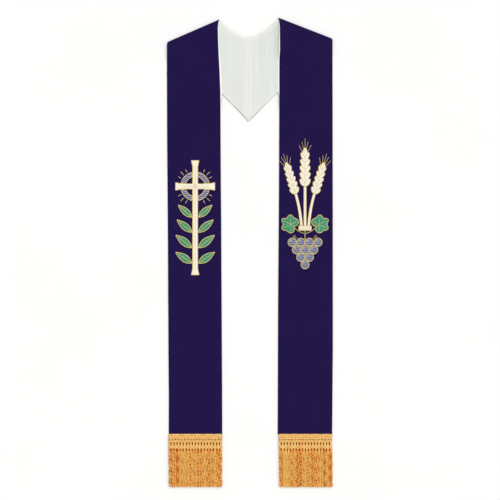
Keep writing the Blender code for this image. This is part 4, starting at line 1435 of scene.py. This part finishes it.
def crocheted_heading(side, chance):
    """The chains, eyelet bars and ladder rungs of one fringe's heading."""
    span = FRINGE_SPANS[side]
    low, high = span
    rungs = rung_centres(side)
    gaps = (rungs[1:] + rungs[:-1]) / 2
    made = Gathered()
    for number, (drop, width) in enumerate(CHAINS):
        reach = LAPPED_SPANS[side] if drop < HEM_LAP else span
        across_cord(made, reach, drop, width, 1 if number % 2 else -1, chance)
    bar_width, bar_offset = EYELET_BAR
    bars = [low + HEADING_EDGE, *(gaps - bar_offset), *(gaps + bar_offset), high - HEADING_EDGE]
    for x in sorted(bars):
        drops = np.linspace(*EYELETS, 7)
        line = np.stack([0 * drops + x, HEADING_TOP_Y - drops, heading_top(drops) - EYELET_SINK], -1)
        short_cord(made, line, bar_width, chance, pitch=EYELET_PITCH)
    for centre in rungs:
        for offset in (-RUNG_OFFSET, RUNG_OFFSET):
            drops = np.linspace(*RUNGS, 20)
            share = (drops - RUNGS[0]) / (RUNGS[1] - RUNGS[0])
            x = centre + offset * (RUNG_SPLAY[0] - RUNG_SPLAY[1] * np.sin(np.pi * share))
            sink = RUNG_SINK[0] + RUNG_SINK[1] * np.cos(2 * np.pi * share) ** 2
            line = np.stack([x, HEADING_TOP_Y - drops, heading_top(drops) - sink], -1)
            short_cord(made, line, RUNG_CORD, chance, pitch=RUNG_PITCH)
    long, wide, apart = STITCH
    for drop in STITCH_ROWS:
        for first in np.arange(low + STITCH_FROM, high - STITCH_FROM - long, apart):
            x = np.linspace(first, first + long, 6)
            bow = STITCH_BOW * np.sin(np.pi * (x - first) / long)
            z = heading_top(drop) - STITCH_SINK + bow
            line = np.stack([x, HEADING_TOP_Y - drop + 0 * x, z], -1)
            short_cord(made, line, wide, chance, lobe=0.0)
    return made


def fringe_strands(side, chance):
    """Every twisted strand of one fringe, in its two layers."""
    low, high = STRAND_SPANS[side]
    rungs = rung_centres(side)
    pitch = (high - low) / (RUNGS_ACROSS * STRANDS_PER_RUNG)
    made = Gathered()
    bunches = [chance.random() for _ in rungs]
    for layer, level in enumerate(LAYER_HEIGHTS):
        for i in range(RUNGS_ACROSS * STRANDS_PER_RUNG):
            rung, in_rung = divmod(i, STRANDS_PER_RUNG)
            x_end = min(low + (i + 1.0 - 0.5 * layer) * pitch, high - STRANDS[0] / 2)
            first = UPPER_FROM if layer else LOWER_FROM
            last = FRINGE_LENGTH + chance.uniform(*ENDS)
            drops = np.linspace(first, last, round((last - first) / STRAND_STEP))
            share = eased((drops - FAN[1]) / (FRINGE_LENGTH - FAN[1]))
            lean = LEAN + SWAY * math.sin(2 * np.pi * x_end / SWAY_WAVE)
            wave = chance.uniform(*STRAND_WAVES)
            swing = chance.uniform(*STRAND_SWING)
            curls = swing * np.sin(2 * np.pi * drops / wave + chance.uniform(0, 6.3))
            x = x_end + lean * share + curls * eased((drops - FAN[0]) / CURLED_OVER)
            z = level + chance.uniform(0.0, STRAND_RISE) * np.sin(2 * np.pi * drops / wave + 1.0)
            if layer:
                tied = rungs[rung] + (in_rung - 1) * RUNG_OFFSET
                x = tied + (x - tied) * eased((drops - FAN[0]) / (FAN[1] - FAN[0]))
                loose = eased((drops - UPPER_FROM) / TIED_OVER)
                under = TIED_SINK[0] + TIED_SINK[1] * (1 - loose)
                settle = eased((drops - FAN[0]) / SETTLED_OVER)
                z = (heading_top(drops) - under) * (1 - settle) + z * settle
            line = np.stack([x, HEADING_TOP_Y - drops, z], -1)
            width = STRANDS[layer] * chance.uniform(*STRAND_WIDTHS)
            tone = STRAND_UNEVEN * chance.random() + BUNCH_UNEVEN * bunches[rung]
            tone = tone + drifting(drops, STRAND_DRIFT, chance)
            form = {"pitch": STRAND_PITCH * chance.uniform(*STRAND_TWISTS), "lobe": 0.2}
            made.add(*tube(line, width, width * 0.92, 6, tone=tone, hollow=PLY_PAINTED_SHADE, **form))
    return made


def heading_backing(side):
    """The back of the heading, seen through the ladder, its colour darkened as painted shade. It laps the
    hem as the chains do.
    """
    low, high = (end + sign * HEADING_EDGE for end, sign in zip(FRINGE_SPANS[side], (1, -1)))
    drops = np.array(BACKING_DROPS)
    bottom = np.where(drops <= HEM_LAP, CLOTH + 0.0001, 0.0001)
    top = heading_top(drops) - BACKING_SINK
    top[:2] = CLOTH + 0.0007
    section = [(HEADING_TOP_Y - d, z) for d, z in zip(drops, top)]
    section += [(HEADING_TOP_Y - d, z) for d, z in zip(drops[::-1], bottom[::-1])]
    points = [[(x, y, z) for y, z in section] for x in (high, low)]
    threads = [[(x, y, 0.1) for y, _ in section] for x in (high, low)]
    return points, loft_faces(2, len(section)), threads


def rayon_finish(name, shades, uneven, middle):
    """Twisted rayon: its shade changes from strand to strand, the hollows between its plies are painted
    darker as painted shade, and fine threads wind round each one.
    """
    sheen = {"sheen": 0.5, "sheen_roughness": 0.5, "tint": (255, 180, 84)}
    made = Finish(name, roughness=0.4, specular=0.3, **sheen)
    along, around, tone = made.threads()
    thread = made.swell(made.scaled(around, 1.1, along), RAYON_THREAD)
    pattern_and_painted_light = made.scaled(thread, 0.18, made.scaled(tone, uneven, middle))
    made.colour(made.ramp(pattern_and_painted_light, *zip((0.1, 0.40, 0.62, 0.9), shades)))
    made.relief((thread, 0.00014))
    return made


rayon = rayon_finish("gold_rayon", RAYON, uneven=1.10, middle=0.27)
rayon_bright = rayon_finish("gold_rayon_chains", CHAIN_RAYON, uneven=0.78, middle=0.19)
# The backing's rayon is coloured darker than the strands' as painted shade in the ladder's holes.
rayon_painted_shade = Finish("gold_rayon_backing_painted_shade", roughness=0.8, specular=0.04)
across, along, _ = rayon_painted_shade.threads()
courses = [rayon_painted_shade.ripple(run, pitch) for run, pitch in zip((across, along), BACKING_KNIT)]
knit = rayon_painted_shade.sum("MULTIPLY", *courses)
rayon_painted_shade.colour(rayon_painted_shade.ramp(knit, *zip((0.3, 0.8), BACKING_RAYON_PAINTED_SHADE)))
rayon_painted_shade.relief((knit, 0.0002))

for number, side in enumerate(SIDES):
    chance = random.Random(40 + number)
    heading = crocheted_heading(side, chance).piece(f"fringe_heading_{side}", rayon_bright, "gold_fringe")
    strands = fringe_strands(side, chance).piece(f"fringe_strands_{side}", rayon, "gold_fringe")
    points, faces, threads = heading_backing(side)
    shaded = piece_of(f"fringe_backing_{side}", points, faces, rayon_painted_shade, threads)
    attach(shaded, "root")
    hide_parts(f"fringe_{side}")
    sewn_on[side] += [heading, strands, shaded]
    width, length, area = unfolded_cut(HALVES[side])
